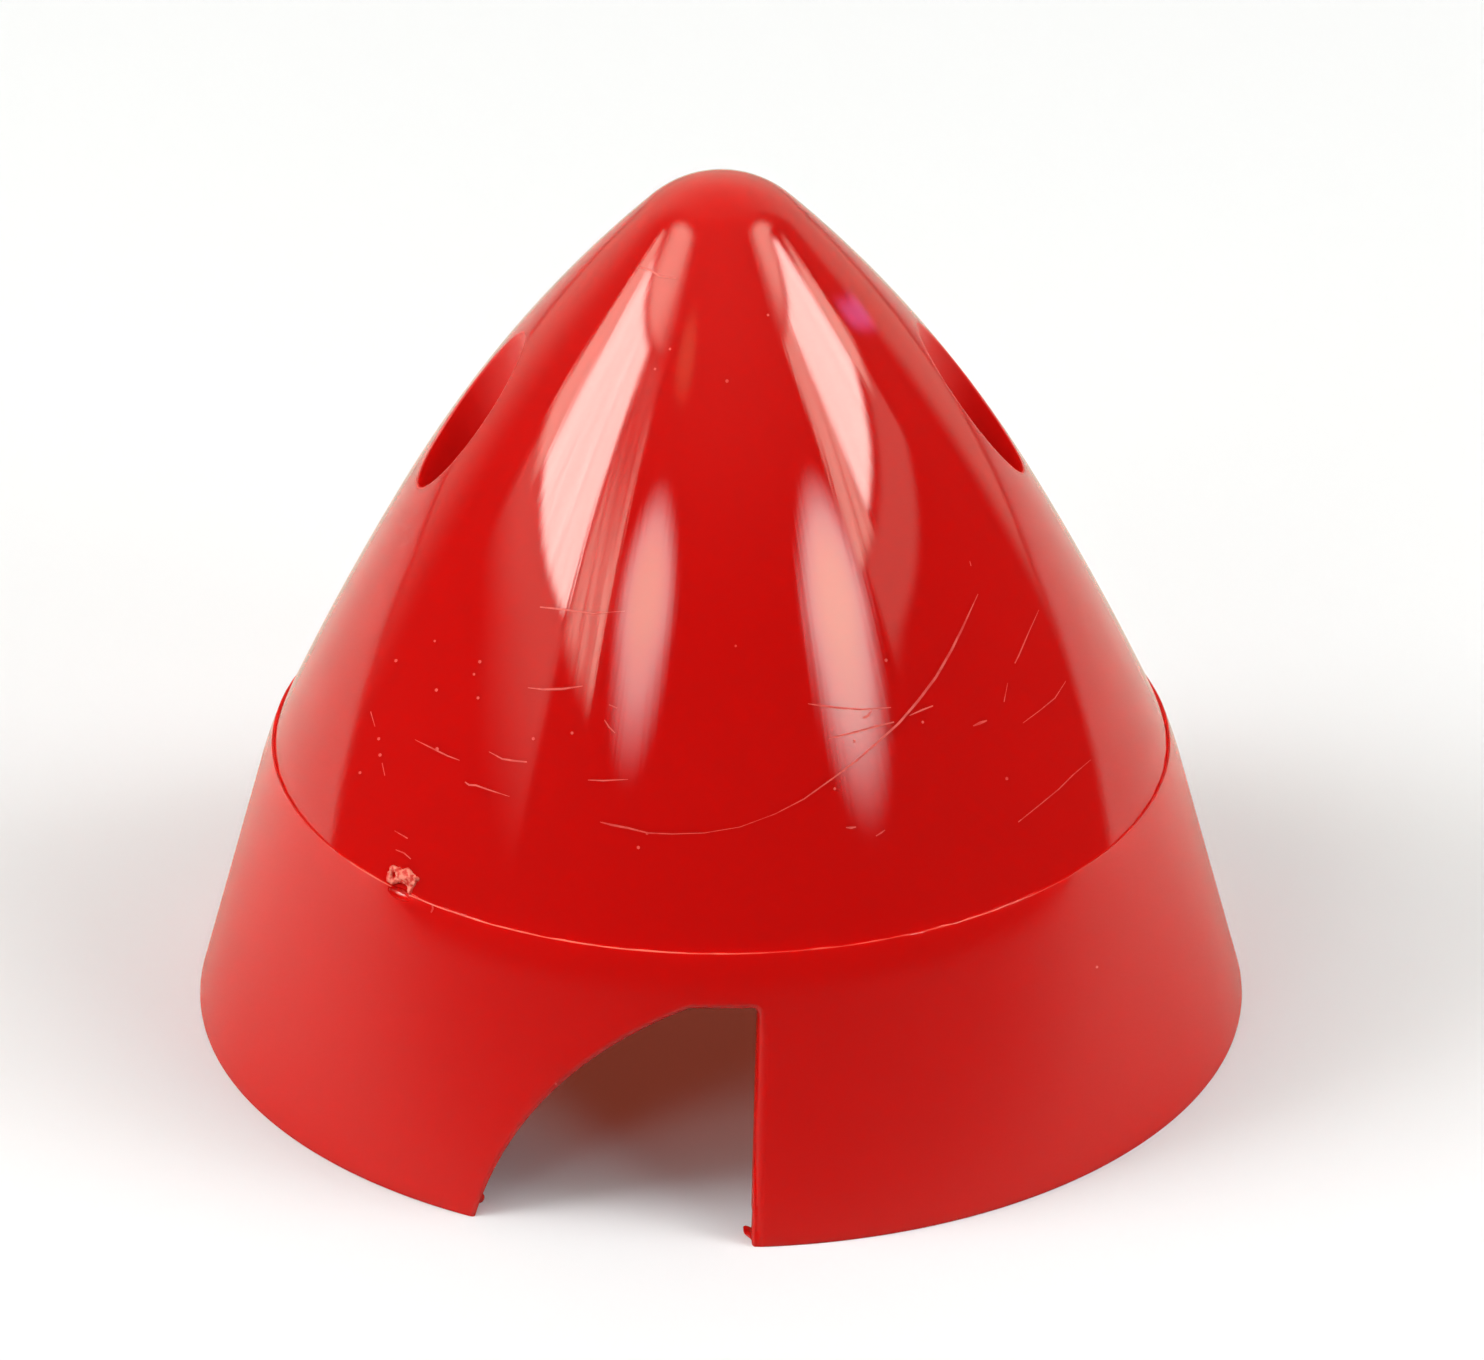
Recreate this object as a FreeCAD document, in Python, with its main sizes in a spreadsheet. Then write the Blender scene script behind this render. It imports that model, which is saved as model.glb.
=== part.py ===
import FreeCAD, Part
import math
import os
import Sketcher

# Spinner cap for a two-blade model aircraft propeller, 57 mm across, moulded in one piece.
# It stands on its rim: +Z runs up to the nose, the two screws lie on X, and the blades leave
# along -Y and +Y. Lengths are in millimetres and angles in degrees.
# The cap is made the way its mould makes it: an outer form, less a core with slots in it for
# the screw tubes and their webs, and then the holes and the two blade cutouts.

# Driving dimensions, each with what it measures
SIZES = {
    "rim_radius": (28.5, "outside radius of the rim, on which the cap stands"),
    "rim_width": (1.3, "width of the flat rim face"),
    "register_depth": (1.5, "depth of the land inside the rim that centres the backplate"),
    "band_slope": (14.9, "lean of the matt band, from upright"),
    "band_wall": (1.5, "wall of the band"),
    "seam_height": (15.3, "height of the mould's parting line"),
    "seam_ledge": (0.15, "step by which the band stands proud of the cone"),
    "shoulder_depth": (2.3, "depth of the strip below the parting line that leans in more"),
    "shoulder_slope": (17.6, "lean of that strip, from upright"),
    "flank_rise": (14.0, "height of the cone's lower, flatter arc"),
    "flank_radius": (174.0, "radius of that arc"),
    "crown_radius": (78.5, "radius of the arc over it"),
    "crown_joint_depth": (8.0, "how far below the tip the crown's upper face starts, over the recesses"),
    "nose_radius": (5.75, "radius of the round nose"),
    "nose_height": (48.6, "height of the tip over the rim"),
    "cone_wall": (1.2, "wall of the cone"),
    "screw_spacing": (26.7, "distance between the axes of the two screws"),
    "recess_diameter": (5.6, "bore that takes a screw's head down its tube"),
    "tube_wall": (1.2, "wall of a screw tube"),
    "tube_foot": (2.0, "height of a tube's lower end over the rim"),
    "tube_floor": (3.0, "floor of a tube, on which the screw's head bears"),
    "screw_hole_diameter": (3.2, "clearance hole for the screw through that floor"),
    "web_thickness": (1.0, "thickness of the web that ties a tube to the wall"),
    "web_foot": (4.0, "height of a web's lower edge over the rim"),
    "cutout_margin": (2.9, "band left between a cutout's flat top and the parting line"),
    "cutout_flat_end": (2.85, "distance from the axis at which the flat top ends"),
    "cutout_brow_radius": (0.8, "round between the flat top and the curved side"),
    "cutout_reach": (14.33, "distance from the axis to the foot of the curved side"),
    "cutout_arc_radius": (19.7, "radius of the curved side"),
    "cutout_side_offset": (0.05, "distance past the axis of the straight side's foot"),
    "cutout_side_lean": (2.3, "lean of the straight side, from upright"),
    "cutout_corner_radius": (0.3, "round between the straight side and the flat top"),
}
BLADES = 2
TOOL_OVERLAP = 1.0    # how far a cutting tool starts outside the material

START, END, CENTRE = 1, 2, 3    # the points of a piece of a sketch
ORIGIN = (-1, START)            # the sketch's own origin
UPRIGHT_AXIS = -2

Vector = FreeCAD.Vector


def size(name):
    return SIZES[name][0]


def leaning(slope):
    """The direction that climbs towards the axis, this far from upright."""
    return Vector(-math.sin(math.radians(slope)), math.cos(math.radians(slope)))


def facing(slope):
    """The outward direction square to a surface of that slope."""
    return Vector(math.cos(math.radians(slope)), math.sin(math.radians(slope)))


# The sheet of driving dimensions

document = FreeCAD.newDocument("spinner")
sheet = document.addObject("Spreadsheet::Sheet", "sizes")
for row, (name, (number, meaning)) in enumerate(SIZES.items(), start=1):
    sheet.set(f"A{row}", meaning)
    sheet.set(f"B{row}", str(number))
    sheet.setAlias(f"B{row}", name)
document.recompute()


# Where the outline's arcs meet, so that each sketch is drawn close to its solution

def radius_through(start, slope, point):
    """Radius of the arc that has this slope at its start and passes through the point."""
    reach = point - start
    return -reach.Length ** 2 / (2 * reach.dot(facing(slope)))


def climb(start, slope, rise):
    """The point reached from the start by rising so far at that slope."""
    return start + leaning(slope) * (rise / leaning(slope).y)


rim_corner = Vector(size("rim_radius"), 0)
shoulder_foot = climb(rim_corner, size("band_slope"), size("seam_height") - size("shoulder_depth"))
shoulder_top = climb(shoulder_foot, size("shoulder_slope"), size("shoulder_depth"))
cone_foot = shoulder_top - Vector(size("seam_ledge"), 0)

tip = Vector(0, size("nose_height"))
nose_centre = tip - Vector(0, size("nose_radius"))


def cone_arcs(foot_slope):
    """The lower arc's centre and end, and the upper arc's centre, for a lean at the cone's foot."""
    centre = cone_foot - facing(foot_slope) * size("flank_radius")
    end_rise = cone_foot.y + size("flank_rise") - centre.y
    end_slope = math.degrees(math.asin(end_rise / size("flank_radius")))
    end = centre + facing(end_slope) * size("flank_radius")
    return centre, end, end - facing(end_slope) * size("crown_radius")


def nose_gap(foot_slope):
    """How far outside the round nose the upper arc would pass."""
    reach = (nose_centre - cone_arcs(foot_slope)[2]).Length
    return size("crown_radius") - size("nose_radius") - reach


steep, shallow = 0.0, 60.0
while shallow - steep > 1e-9:
    middle = (steep + shallow) / 2
    steep, shallow = (middle, shallow) if nose_gap(middle) > 0 else (steep, middle)
flank_centre, flank_end, crown_centre = cone_arcs(steep)
nose_start = nose_centre + (nose_centre - crown_centre).normalize() * size("nose_radius")


def crown_point(height, radius):
    """The point at that height on an arc about the crown's centre."""
    rise = height - crown_centre.y
    return Vector(crown_centre.x + math.sqrt(radius ** 2 - rise ** 2), height)


crown_joint = crown_point(size("nose_height") - size("crown_joint_depth"), size("crown_radius"))


# Drawing in a sketch

class Outline:
    """A closed outline on one of a body's own planes, drawn counter-clockwise."""

    def __init__(self, body, name, plane_role, plane_offset="0"):
        self.sketch = body.newObject("Sketcher::SketchObject", name)
        plane = next(item for item in body.Origin.OriginFeatures if item.Role == plane_role)
        self.sketch.AttachmentSupport = [(plane, "")]
        self.sketch.MapMode = "FlatFace"
        self.sketch.setExpression("AttachmentOffset.Base.z", plane_offset)
        self.ring = []

    def draw(self, curve, helper=False):
        index = self.sketch.addGeometry(curve, helper)
        if not helper:
            self.ring.append(index)
        return index

    def line(self, start, end, helper=False):
        return self.draw(Part.LineSegment(start, end), helper)

    def arc(self, centre, start, end, helper=False):
        circle = Part.Circle(centre, Vector(0, 0, 1), (start - centre).Length)
        circle.XAxis = start - centre
        return self.draw(Part.ArcOfCircle(circle, 0, (start - centre).getAngle(end - centre)), helper)

    def tie(self, kind, *where):
        return self.sketch.addConstraint(Sketcher.Constraint(kind, *where))

    def close(self, *smooth):
        """Tie each piece's end to the next one's start, with no corner after the smooth ones."""
        for piece, following in zip(self.ring, self.ring[1:] + self.ring[:1]):
            kind = "Tangent" if piece in smooth else "Coincident"
            self.tie(kind, piece, END, following, START)

    def dimension(self, name, kind, *where, to):
        """A dimension that follows an expression of the sheet's sizes."""
        number = float(self.sketch.evalExpression(to))
        if kind == "Angle":
            number = math.radians(number)
        self.sketch.renameConstraint(self.tie(kind, *where, number), name)
        self.sketch.setExpression("Constraints." + name, to)

    def reading(self, name, kind, *where):
        """A dimension that the sketch works out, for other sketches to read."""
        index = self.tie(kind, *where, 1.0)
        self.sketch.setDriving(index, False)
        self.sketch.renameConstraint(index, name)


def circle_sketch(body, name, height, diameter):
    """A circle about a screw's axis, at a height over the rim."""
    outline = Outline(body, name, "XY_Plane", height)
    radius = float(sheet.evalExpression(diameter)) / 2
    centre = Vector(size("screw_spacing") / 2, 0)
    index = outline.draw(Part.Circle(centre, Vector(0, 0, 1), radius))
    outline.tie("PointOnObject", index, CENTRE, -1)
    outline.dimension("spacing", "DistanceX", *ORIGIN, index, CENTRE, to="sizes.screw_spacing / 2")
    outline.dimension("diameter", "Diameter", index, to=diameter)
    return outline.sketch


# Features

def turn(body, name, outline, angle):
    """An outline turned about the axis."""
    feature = body.newObject("PartDesign::Revolution", name)
    feature.Profile = outline.sketch
    feature.ReferenceAxis = (outline.sketch, ["V_Axis"])
    feature.Angle = angle
    document.recompute()
    return feature


def cut_onwards(body, name, sketch):
    """A pocket from its sketch's plane through everything on the side that the plane faces."""
    before = body.Shape.Volume
    pocket = body.newObject("PartDesign::Pocket", name)
    pocket.Profile = sketch
    pocket.Type = "ThroughAll"
    pocket.Reversed = True
    document.recompute()
    if body.Shape.Volume >= before:
        raise RuntimeError(name + " cuts nothing")
    return pocket


def repeat_about_axis(body, name, features):
    """The same features again for each blade, evenly about the cap's axis."""
    pattern = body.newObject("PartDesign::PolarPattern", name)
    pattern.Originals = features
    axis = next(item for item in body.Origin.OriginFeatures if item.Role == "Z_Axis")
    pattern.Axis = (axis, [""])
    pattern.Angle = 360
    pattern.Occurrences = BLADES
    body.Tip = pattern
    document.recompute()
    return pattern


# The outer form: band, ledge at the parting line, cone of two arcs and round nose. The crown, the
# upper arc, is two faces that meet over the screw recesses.

cap = document.addObject("PartDesign::Body", "cap")
cap.Label = "spinner_cap"

outer = Outline(cap, "outer_section", "XZ_Plane")
rim = outer.line(Vector(0, 0), rim_corner)
band = outer.line(rim_corner, shoulder_foot)
shoulder = outer.line(shoulder_foot, shoulder_top)
ledge = outer.line(shoulder_top, cone_foot)
flank = outer.arc(flank_centre, cone_foot, flank_end)
crown = outer.arc(crown_centre, flank_end, crown_joint)
upper_crown = outer.arc(crown_centre, crown_joint, nose_start)
nose = outer.arc(nose_centre, nose_start, tip)
axis = outer.line(tip, Vector(0, 0))
outer.close(flank, crown, upper_crown)
outer.tie("Equal", crown, upper_crown)
outer.tie("Coincident", rim, START, *ORIGIN)
outer.tie("Horizontal", rim)
outer.tie("Horizontal", ledge)
outer.tie("Vertical", axis)
outer.tie("PointOnObject", nose, CENTRE, UPRIGHT_AXIS)

outer.dimension("rim_radius", "Distance", rim, to="sizes.rim_radius")
outer.dimension("band_slope", "Angle", band, to="90 + sizes.band_slope")
outer.dimension("shoulder_height", "DistanceY", *ORIGIN, band, END,
                to="sizes.seam_height - sizes.shoulder_depth")
outer.dimension("shoulder_slope", "Angle", shoulder, to="90 + sizes.shoulder_slope")
outer.dimension("seam_height", "DistanceY", *ORIGIN, shoulder, END, to="sizes.seam_height")
outer.dimension("seam_ledge", "Distance", ledge, to="sizes.seam_ledge")
outer.dimension("flank_end", "DistanceY", *ORIGIN, flank, END,
                to="sizes.seam_height + sizes.flank_rise")
outer.dimension("flank_radius", "Radius", flank, to="sizes.flank_radius")
outer.dimension("crown_radius", "Radius", crown, to="sizes.crown_radius")
outer.dimension("crown_joint", "DistanceY", *ORIGIN, crown, END,
                to="sizes.nose_height - sizes.crown_joint_depth")
outer.dimension("nose_radius", "Radius", nose, to="sizes.nose_radius")
outer.dimension("nose_height", "DistanceY", *ORIGIN, nose, END, to="sizes.nose_height")
outer.reading("flank_centre_beyond", "DistanceX", flank, CENTRE, *ORIGIN)
outer.reading("flank_centre_below", "DistanceY", flank, CENTRE, *ORIGIN)
document.recompute()

outer_half = turn(cap, "outer_half", outer, 180)
repeat_about_axis(cap, "outer_form", [outer_half])


# The mould's core: a land at the mouth, straight tapers that follow the cone's arcs one wall
# further in, and a flat end under the nose

core = document.addObject("PartDesign::Body", "core")
core.Label = "mould_core"


def moved_in(point, centre):
    """A point on the cone's outside, moved square to the surface by the cone's wall."""
    return point + (centre - point).normalize() * size("cone_wall")


register_radius = size("rim_radius") - size("rim_width")
inner_band_root = rim_corner - Vector(size("band_wall") / facing(size("band_slope")).x, 0)
inner_band_start = climb(inner_band_root, size("band_slope"), size("register_depth"))
to_root = inner_band_root - flank_centre
reach = to_root.dot(leaning(size("band_slope")))
inner_flank_radius = size("flank_radius") - size("cone_wall")
band_run = math.sqrt(reach ** 2 - to_root.dot(to_root) + inner_flank_radius ** 2) - reach
inner_flank_start = inner_band_root + leaning(size("band_slope")) * band_run
inner_flank_end = moved_in(flank_end, flank_centre)
inner_joint_height = crown_joint.y - size("cone_wall")
inner_crown_joint = crown_point(inner_joint_height, size("crown_radius") - size("cone_wall"))
inner_nose_start = moved_in(nose_start, nose_centre)
inner_tip = tip - Vector(0, size("cone_wall"))
mouth = -TOOL_OVERLAP

inner = Outline(core, "core_section", "XZ_Plane")
mouth_line = inner.line(Vector(0, mouth), Vector(register_radius, mouth))
land = inner.line(Vector(register_radius, mouth), Vector(register_radius, size("register_depth")))
land_step = inner.line(Vector(register_radius, size("register_depth")), inner_band_start)
inner_band = inner.line(inner_band_start, inner_flank_start)
flank_taper = inner.line(inner_flank_start, inner_flank_end)
crown_taper = inner.line(inner_flank_end, inner_crown_joint)
upper_taper = inner.line(inner_crown_joint, inner_nose_start)
core_end = inner.line(inner_nose_start, Vector(0, inner_nose_start.y))
inner_axis = inner.line(Vector(0, inner_nose_start.y), Vector(0, mouth))
inner.close()
inner.tie("PointOnObject", mouth_line, START, UPRIGHT_AXIS)
inner.tie("Horizontal", mouth_line)
inner.tie("Vertical", land)
inner.tie("Horizontal", land_step)
inner.tie("Vertical", inner_axis)
inner.tie("Horizontal", core_end)

flank_guide = inner.arc(flank_centre, inner_flank_start, inner_flank_end, helper=True)
crown_guide = inner.arc(crown_centre, inner_flank_end, inner_nose_start, helper=True)
nose_guide = inner.arc(nose_centre, inner_nose_start, inner_tip, helper=True)
inner.tie("Coincident", flank_guide, START, flank_taper, START)
inner.tie("Coincident", flank_guide, END, flank_taper, END)
inner.tie("Tangent", flank_guide, END, crown_guide, START)
inner.tie("Tangent", crown_guide, END, nose_guide, START)
inner.tie("Coincident", crown_guide, END, upper_taper, END)
inner.tie("PointOnObject", nose_guide, CENTRE, UPRIGHT_AXIS)
inner.tie("PointOnObject", nose_guide, END, UPRIGHT_AXIS)
inner.tie("PointOnObject", crown_taper, END, crown_guide)

inner.dimension("mouth", "DistanceY", mouth_line, START, *ORIGIN, to=str(TOOL_OVERLAP))
inner.dimension("register_radius", "Distance", mouth_line, to="sizes.rim_radius - sizes.rim_width")
inner.dimension("register_depth", "DistanceY", *ORIGIN, land, END, to="sizes.register_depth")
inner.dimension("band_start", "DistanceX", *ORIGIN, inner_band, START,
                to="sizes.rim_radius - sizes.band_wall / cos(sizes.band_slope)"
                   " - sizes.register_depth * tan(sizes.band_slope)")
inner.dimension("band_slope", "Angle", inner_band, to="90 + sizes.band_slope")
inner.dimension("flank_centre_beyond", "DistanceX", flank_guide, CENTRE, *ORIGIN,
                to="outer_section.Constraints.flank_centre_beyond")
inner.dimension("flank_centre_below", "DistanceY", flank_guide, CENTRE, *ORIGIN,
                to="outer_section.Constraints.flank_centre_below")
inner.dimension("flank_radius", "Radius", flank_guide, to="sizes.flank_radius - sizes.cone_wall")
inner.dimension("crown_radius", "Radius", crown_guide, to="sizes.crown_radius - sizes.cone_wall")
inner.dimension("crown_joint", "DistanceY", *ORIGIN, crown_taper, END,
                to="sizes.nose_height - sizes.crown_joint_depth - sizes.cone_wall")
inner.dimension("nose_radius", "Radius", nose_guide, to="sizes.nose_radius - sizes.cone_wall")
inner.dimension("nose_height", "DistanceY", *ORIGIN, nose_guide, END,
                to="sizes.nose_height - sizes.cone_wall")
document.recompute()

turn(core, "core_form", inner, 360)

# Slots in the core: what is cut out of it is left standing in the cap

tube_diameter = "sizes.recess_diameter + 2 * sizes.tube_wall"
tube_sketch = circle_sketch(core, "tube_circle", "sizes.tube_foot", tube_diameter)
tube_slot = cut_onwards(core, "tube_slot", tube_sketch)

web = Outline(core, "web_plan", "XY_Plane", "sizes.web_foot")
web_end = size("rim_radius") + TOOL_OVERLAP
half_web = size("web_thickness") / 2
web_start = size("screw_spacing") / 2
near = web.line(Vector(web_start, -half_web), Vector(web_end, -half_web))
outboard = web.line(Vector(web_end, -half_web), Vector(web_end, half_web))
far = web.line(Vector(web_end, half_web), Vector(web_start, half_web))
web.line(Vector(web_start, half_web), Vector(web_start, -half_web))
web.close()
web.tie("Horizontal", near)
web.tie("Horizontal", far)
web.tie("Vertical", outboard)
web.tie("Symmetric", near, START, far, END, -1)
web.dimension("start", "DistanceX", *ORIGIN, near, START, to="sizes.screw_spacing / 2")
web.dimension("end", "DistanceX", *ORIGIN, near, END, to=f"sizes.rim_radius + {TOOL_OVERLAP}")
web.dimension("thickness", "Distance", outboard, to="sizes.web_thickness")
web_slot = cut_onwards(core, "web_slot", web.sketch)

repeat_about_axis(core, "core_slots", [tube_slot, web_slot])

hollow = cap.newObject("PartDesign::Boolean", "hollow")
hollow.Type = "Cut"
hollow.setObjects([core])
document.recompute()


# Screw holes: a wide bore from above down to the tube's floor, and a narrow one through it

recess_sketch = circle_sketch(cap, "recess_circle", "sizes.tube_foot + sizes.tube_floor",
                              "sizes.recess_diameter")
recess = cut_onwards(cap, "screw_recess", recess_sketch)
hole_sketch = circle_sketch(cap, "screw_hole_circle", "0", "sizes.screw_hole_diameter")
screw_hole = cut_onwards(cap, "screw_hole", hole_sketch)


# A blade cutout: straight and nearly upright on one side, flat on top, one long arc on the other

side_foot = Vector(size("cutout_side_offset"), 0)
cutout_height = size("seam_height") - size("cutout_margin")
side_climb = Vector(math.sin(math.radians(size("cutout_side_lean"))),
                    math.cos(math.radians(size("cutout_side_lean"))))
corner = side_foot + side_climb * (cutout_height / side_climb.y)
corner_setback = size("cutout_corner_radius") * math.tan(
    math.radians(90 + size("cutout_side_lean")) / 2)
corner_start = corner - side_climb * corner_setback
corner_end = corner - Vector(corner_setback, 0)
corner_centre = corner_end - Vector(0, size("cutout_corner_radius"))
flat_end = Vector(-size("cutout_flat_end"), cutout_height)
brow_centre = flat_end - Vector(0, size("cutout_brow_radius"))
arc_foot = Vector(-size("cutout_reach"), 0)
to_foot = arc_foot - brow_centre
to_brow = size("cutout_arc_radius") - size("cutout_brow_radius")
along = (to_brow ** 2 - size("cutout_arc_radius") ** 2 + to_foot.dot(to_foot)) / (2 * to_foot.Length)
across = math.sqrt(to_brow ** 2 - along ** 2)
arc_centre = brow_centre + (to_foot * along + Vector(-to_foot.y, to_foot.x) * across) / to_foot.Length
brow_end = arc_centre + (brow_centre - arc_centre) * (size("cutout_arc_radius") / to_brow)

cutout = Outline(cap, "cutout_outline", "XZ_Plane", "sizes.rim_radius / 2")
below = Vector(0, -TOOL_OVERLAP)
sill = cutout.line(arc_foot + below, side_foot + below)
side_tail = cutout.line(side_foot + below, side_foot)
side = cutout.line(side_foot, corner_start)
corner_arc = cutout.arc(corner_centre, corner_start, corner_end)
flat_top = cutout.line(corner_end, flat_end)
brow = cutout.arc(brow_centre, flat_end, brow_end)
curved_side = cutout.arc(arc_centre, brow_end, arc_foot)
arc_tail = cutout.line(arc_foot, arc_foot + below)
cutout.close(side, corner_arc, flat_top, brow)
cutout.tie("Horizontal", sill)
cutout.tie("Vertical", side_tail)
cutout.tie("Vertical", arc_tail)
cutout.tie("Horizontal", flat_top)
cutout.tie("PointOnObject", side, START, -1)
cutout.tie("PointOnObject", curved_side, END, -1)
cutout.dimension("overlap", "Distance", side_tail, to=str(TOOL_OVERLAP))
cutout.dimension("side_offset", "DistanceX", *ORIGIN, side, START, to="sizes.cutout_side_offset")
cutout.dimension("side_lean", "Angle", side, to="90 - sizes.cutout_side_lean")
cutout.dimension("height", "DistanceY", *ORIGIN, flat_top, END,
                 to="sizes.seam_height - sizes.cutout_margin")
cutout.dimension("corner_radius", "Radius", corner_arc, to="sizes.cutout_corner_radius")
cutout.dimension("brow_radius", "Radius", brow, to="sizes.cutout_brow_radius")
cutout.dimension("flat_end", "DistanceX", flat_top, END, *ORIGIN, to="sizes.cutout_flat_end")
cutout.dimension("reach", "DistanceX", curved_side, END, *ORIGIN, to="sizes.cutout_reach")
cutout.dimension("arc_radius", "Radius", curved_side, to="sizes.cutout_arc_radius")
blade_cutout = cut_onwards(cap, "blade_cutout", cutout.sketch)

repeat_about_axis(cap, "both_sides", [recess, screw_hole, blade_cutout])


# Check every object, then write the part

for item in document.Objects:
    if "Invalid" in item.State or "Error" in item.State:
        raise RuntimeError(f"{item.Name} did not build: {item.State}")
if cap.Shape.isNull() or not cap.Shape.isValid() or len(cap.Shape.Solids) != 1:
    raise RuntimeError("the cap is not one valid solid")

os.makedirs("parts", exist_ok=True)
cap.Shape.exportStep(f"parts/{cap.Label}.step")
print(f"{cap.Label}: {cap.Shape.Volume:.1f} cubic mm, {len(cap.Shape.Faces)} faces")
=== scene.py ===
# %% [markdown]
# # A propeller spinner cap
#
# The cap is one hollow plastic moulding: a glossy cone over a satin band, two deep screw
# recesses and two blade cutouts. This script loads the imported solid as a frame, builds a finer
# shell over it with rounded edges and a mould line, adds a torn gate, flash and scratches, and
# gives it its plastic. Everything is drawn in millimetres, and scaled once to metres.

# %% Frame
import math

import bmesh
import bpy
from mathutils import Matrix, Vector, noise
from mathutils.bvhtree import BVHTree


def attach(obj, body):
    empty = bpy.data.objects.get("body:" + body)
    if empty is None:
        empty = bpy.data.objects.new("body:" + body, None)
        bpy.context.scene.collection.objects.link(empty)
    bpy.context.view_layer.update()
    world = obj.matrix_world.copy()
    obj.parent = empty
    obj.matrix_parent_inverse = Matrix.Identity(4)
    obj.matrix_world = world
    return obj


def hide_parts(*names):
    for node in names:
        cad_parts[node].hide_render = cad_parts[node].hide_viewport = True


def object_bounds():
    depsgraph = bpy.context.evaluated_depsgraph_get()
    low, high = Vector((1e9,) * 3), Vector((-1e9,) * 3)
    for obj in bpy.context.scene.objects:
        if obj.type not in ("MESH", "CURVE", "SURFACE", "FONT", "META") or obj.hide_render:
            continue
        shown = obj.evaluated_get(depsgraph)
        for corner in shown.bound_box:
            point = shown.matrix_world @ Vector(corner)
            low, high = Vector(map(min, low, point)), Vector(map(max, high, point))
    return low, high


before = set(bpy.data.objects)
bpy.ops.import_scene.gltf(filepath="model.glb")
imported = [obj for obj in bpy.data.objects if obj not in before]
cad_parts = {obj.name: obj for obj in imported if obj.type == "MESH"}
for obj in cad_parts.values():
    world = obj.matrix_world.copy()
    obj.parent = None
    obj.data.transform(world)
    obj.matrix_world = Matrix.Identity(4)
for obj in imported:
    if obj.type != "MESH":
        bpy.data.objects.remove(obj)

MM = 0.001
UP = Vector((0, 0, 1))
cad_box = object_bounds()
cad_low, cad_high = (Vector(corner) / MM for corner in cad_box)
rim_radius = (cad_high.x - cad_low.x) / 2
nose_height = cad_high.z
print("rim radius", round(rim_radius, 2), "height", round(nose_height, 2))


# %% [markdown]
# ## Camera
#
# The photograph is a close look from a little above, through a long lens. A long lens far away
# and a short lens near by can show the same outline, so the distance is taken from how the rim's
# ellipse and the parting line's ellipse differ. The cap stands a little off the middle of the
# photograph, so the frame is shifted by that much, while the camera looks straight at the axis.

# %% Camera
PHOTO_WIDTH, PHOTO_HEIGHT = 1484, 1360
FOCAL_PIXELS = 11621.7
AXIS_PIXEL = 721.0    # where the cap's axis crosses the width of the photograph
SENSOR = 36.0
LOOK_AT = Vector((0, 0, 18.78)) * MM
CAMERA_DISTANCE = 627 * MM
CAMERA_AZIMUTH = math.radians(-3.2)
CAMERA_ELEVATION = math.radians(27.63)


def direction(azimuth, elevation):
    """The unit vector towards a place seen from the cap: azimuth from -Y towards +X, in radians."""
    level = math.cos(elevation)
    return Vector((math.sin(azimuth) * level, -math.cos(azimuth) * level, math.sin(elevation)))


camera = bpy.data.objects.new("camera", bpy.data.cameras.new("camera"))
bpy.context.scene.collection.objects.link(camera)
camera.location = LOOK_AT + direction(CAMERA_AZIMUTH, CAMERA_ELEVATION) * CAMERA_DISTANCE
camera.rotation_euler = (LOOK_AT - camera.location).to_track_quat("-Z", "Y").to_euler()
camera.data.sensor_width = SENSOR
camera.data.lens = FOCAL_PIXELS / PHOTO_WIDTH * SENSOR
camera.data.shift_x = (PHOTO_WIDTH / 2 - AXIS_PIXEL) / PHOTO_WIDTH
bpy.context.scene.camera = camera
bpy.context.scene.view_settings.view_transform = "Standard"
print("camera", round(CAMERA_DISTANCE / MM), "mm away, lens", round(camera.data.lens, 1), "mm")


# %% [markdown]
# ## Shader arithmetic
#
# Masks are easiest to read as sums. They could be wired by hand, but then a reader has to follow
# every link. This small class wraps a socket, so that an expression on it adds the Math nodes by
# itself. `ramp` and `fall` are the two that turn a measure into a mask.

# %% Values in a shader
class Value:
    """A number that varies over a surface."""

    def __init__(self, tree, socket):
        self.tree, self.socket = tree, socket

    def math(self, operation, *others):
        inputs = dict(enumerate((self, *others)))
        return self.tree.add("ShaderNodeMath", {"operation": operation}, inputs)

    def __add__(self, other):
        return self.math("ADD", other)

    def __sub__(self, other):
        return self.math("SUBTRACT", other)

    def __mul__(self, other):
        return self.math("MULTIPLY", other)

    def __truediv__(self, other):
        return self.math("DIVIDE", other)

    def __pow__(self, other):
        return self.math("POWER", other)

    def __rsub__(self, other):
        return self * -1 + other

    __radd__, __rmul__ = __add__, __mul__

    def size(self):
        return self.math("ABSOLUTE")

    def most(self, other):
        return self.math("MAXIMUM", other)

    def ramp(self, low, high):
        """0 up to the low value and 1 from the high one, with a smooth rise between."""
        settings = {"interpolation_type": "SMOOTHSTEP"}
        inputs = {"Value": self, "From Min": low, "From Max": high}
        return self.tree.add("ShaderNodeMapRange", settings, inputs)

    def fall(self, low, high):
        """1 up to the low value and 0 from the high one."""
        return 1 - self.ramp(low, high)


# %% [markdown]
# Every other node comes from one method, `add`. Its settings go in before its inputs, because
# some settings change which sockets a node has.

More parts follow.
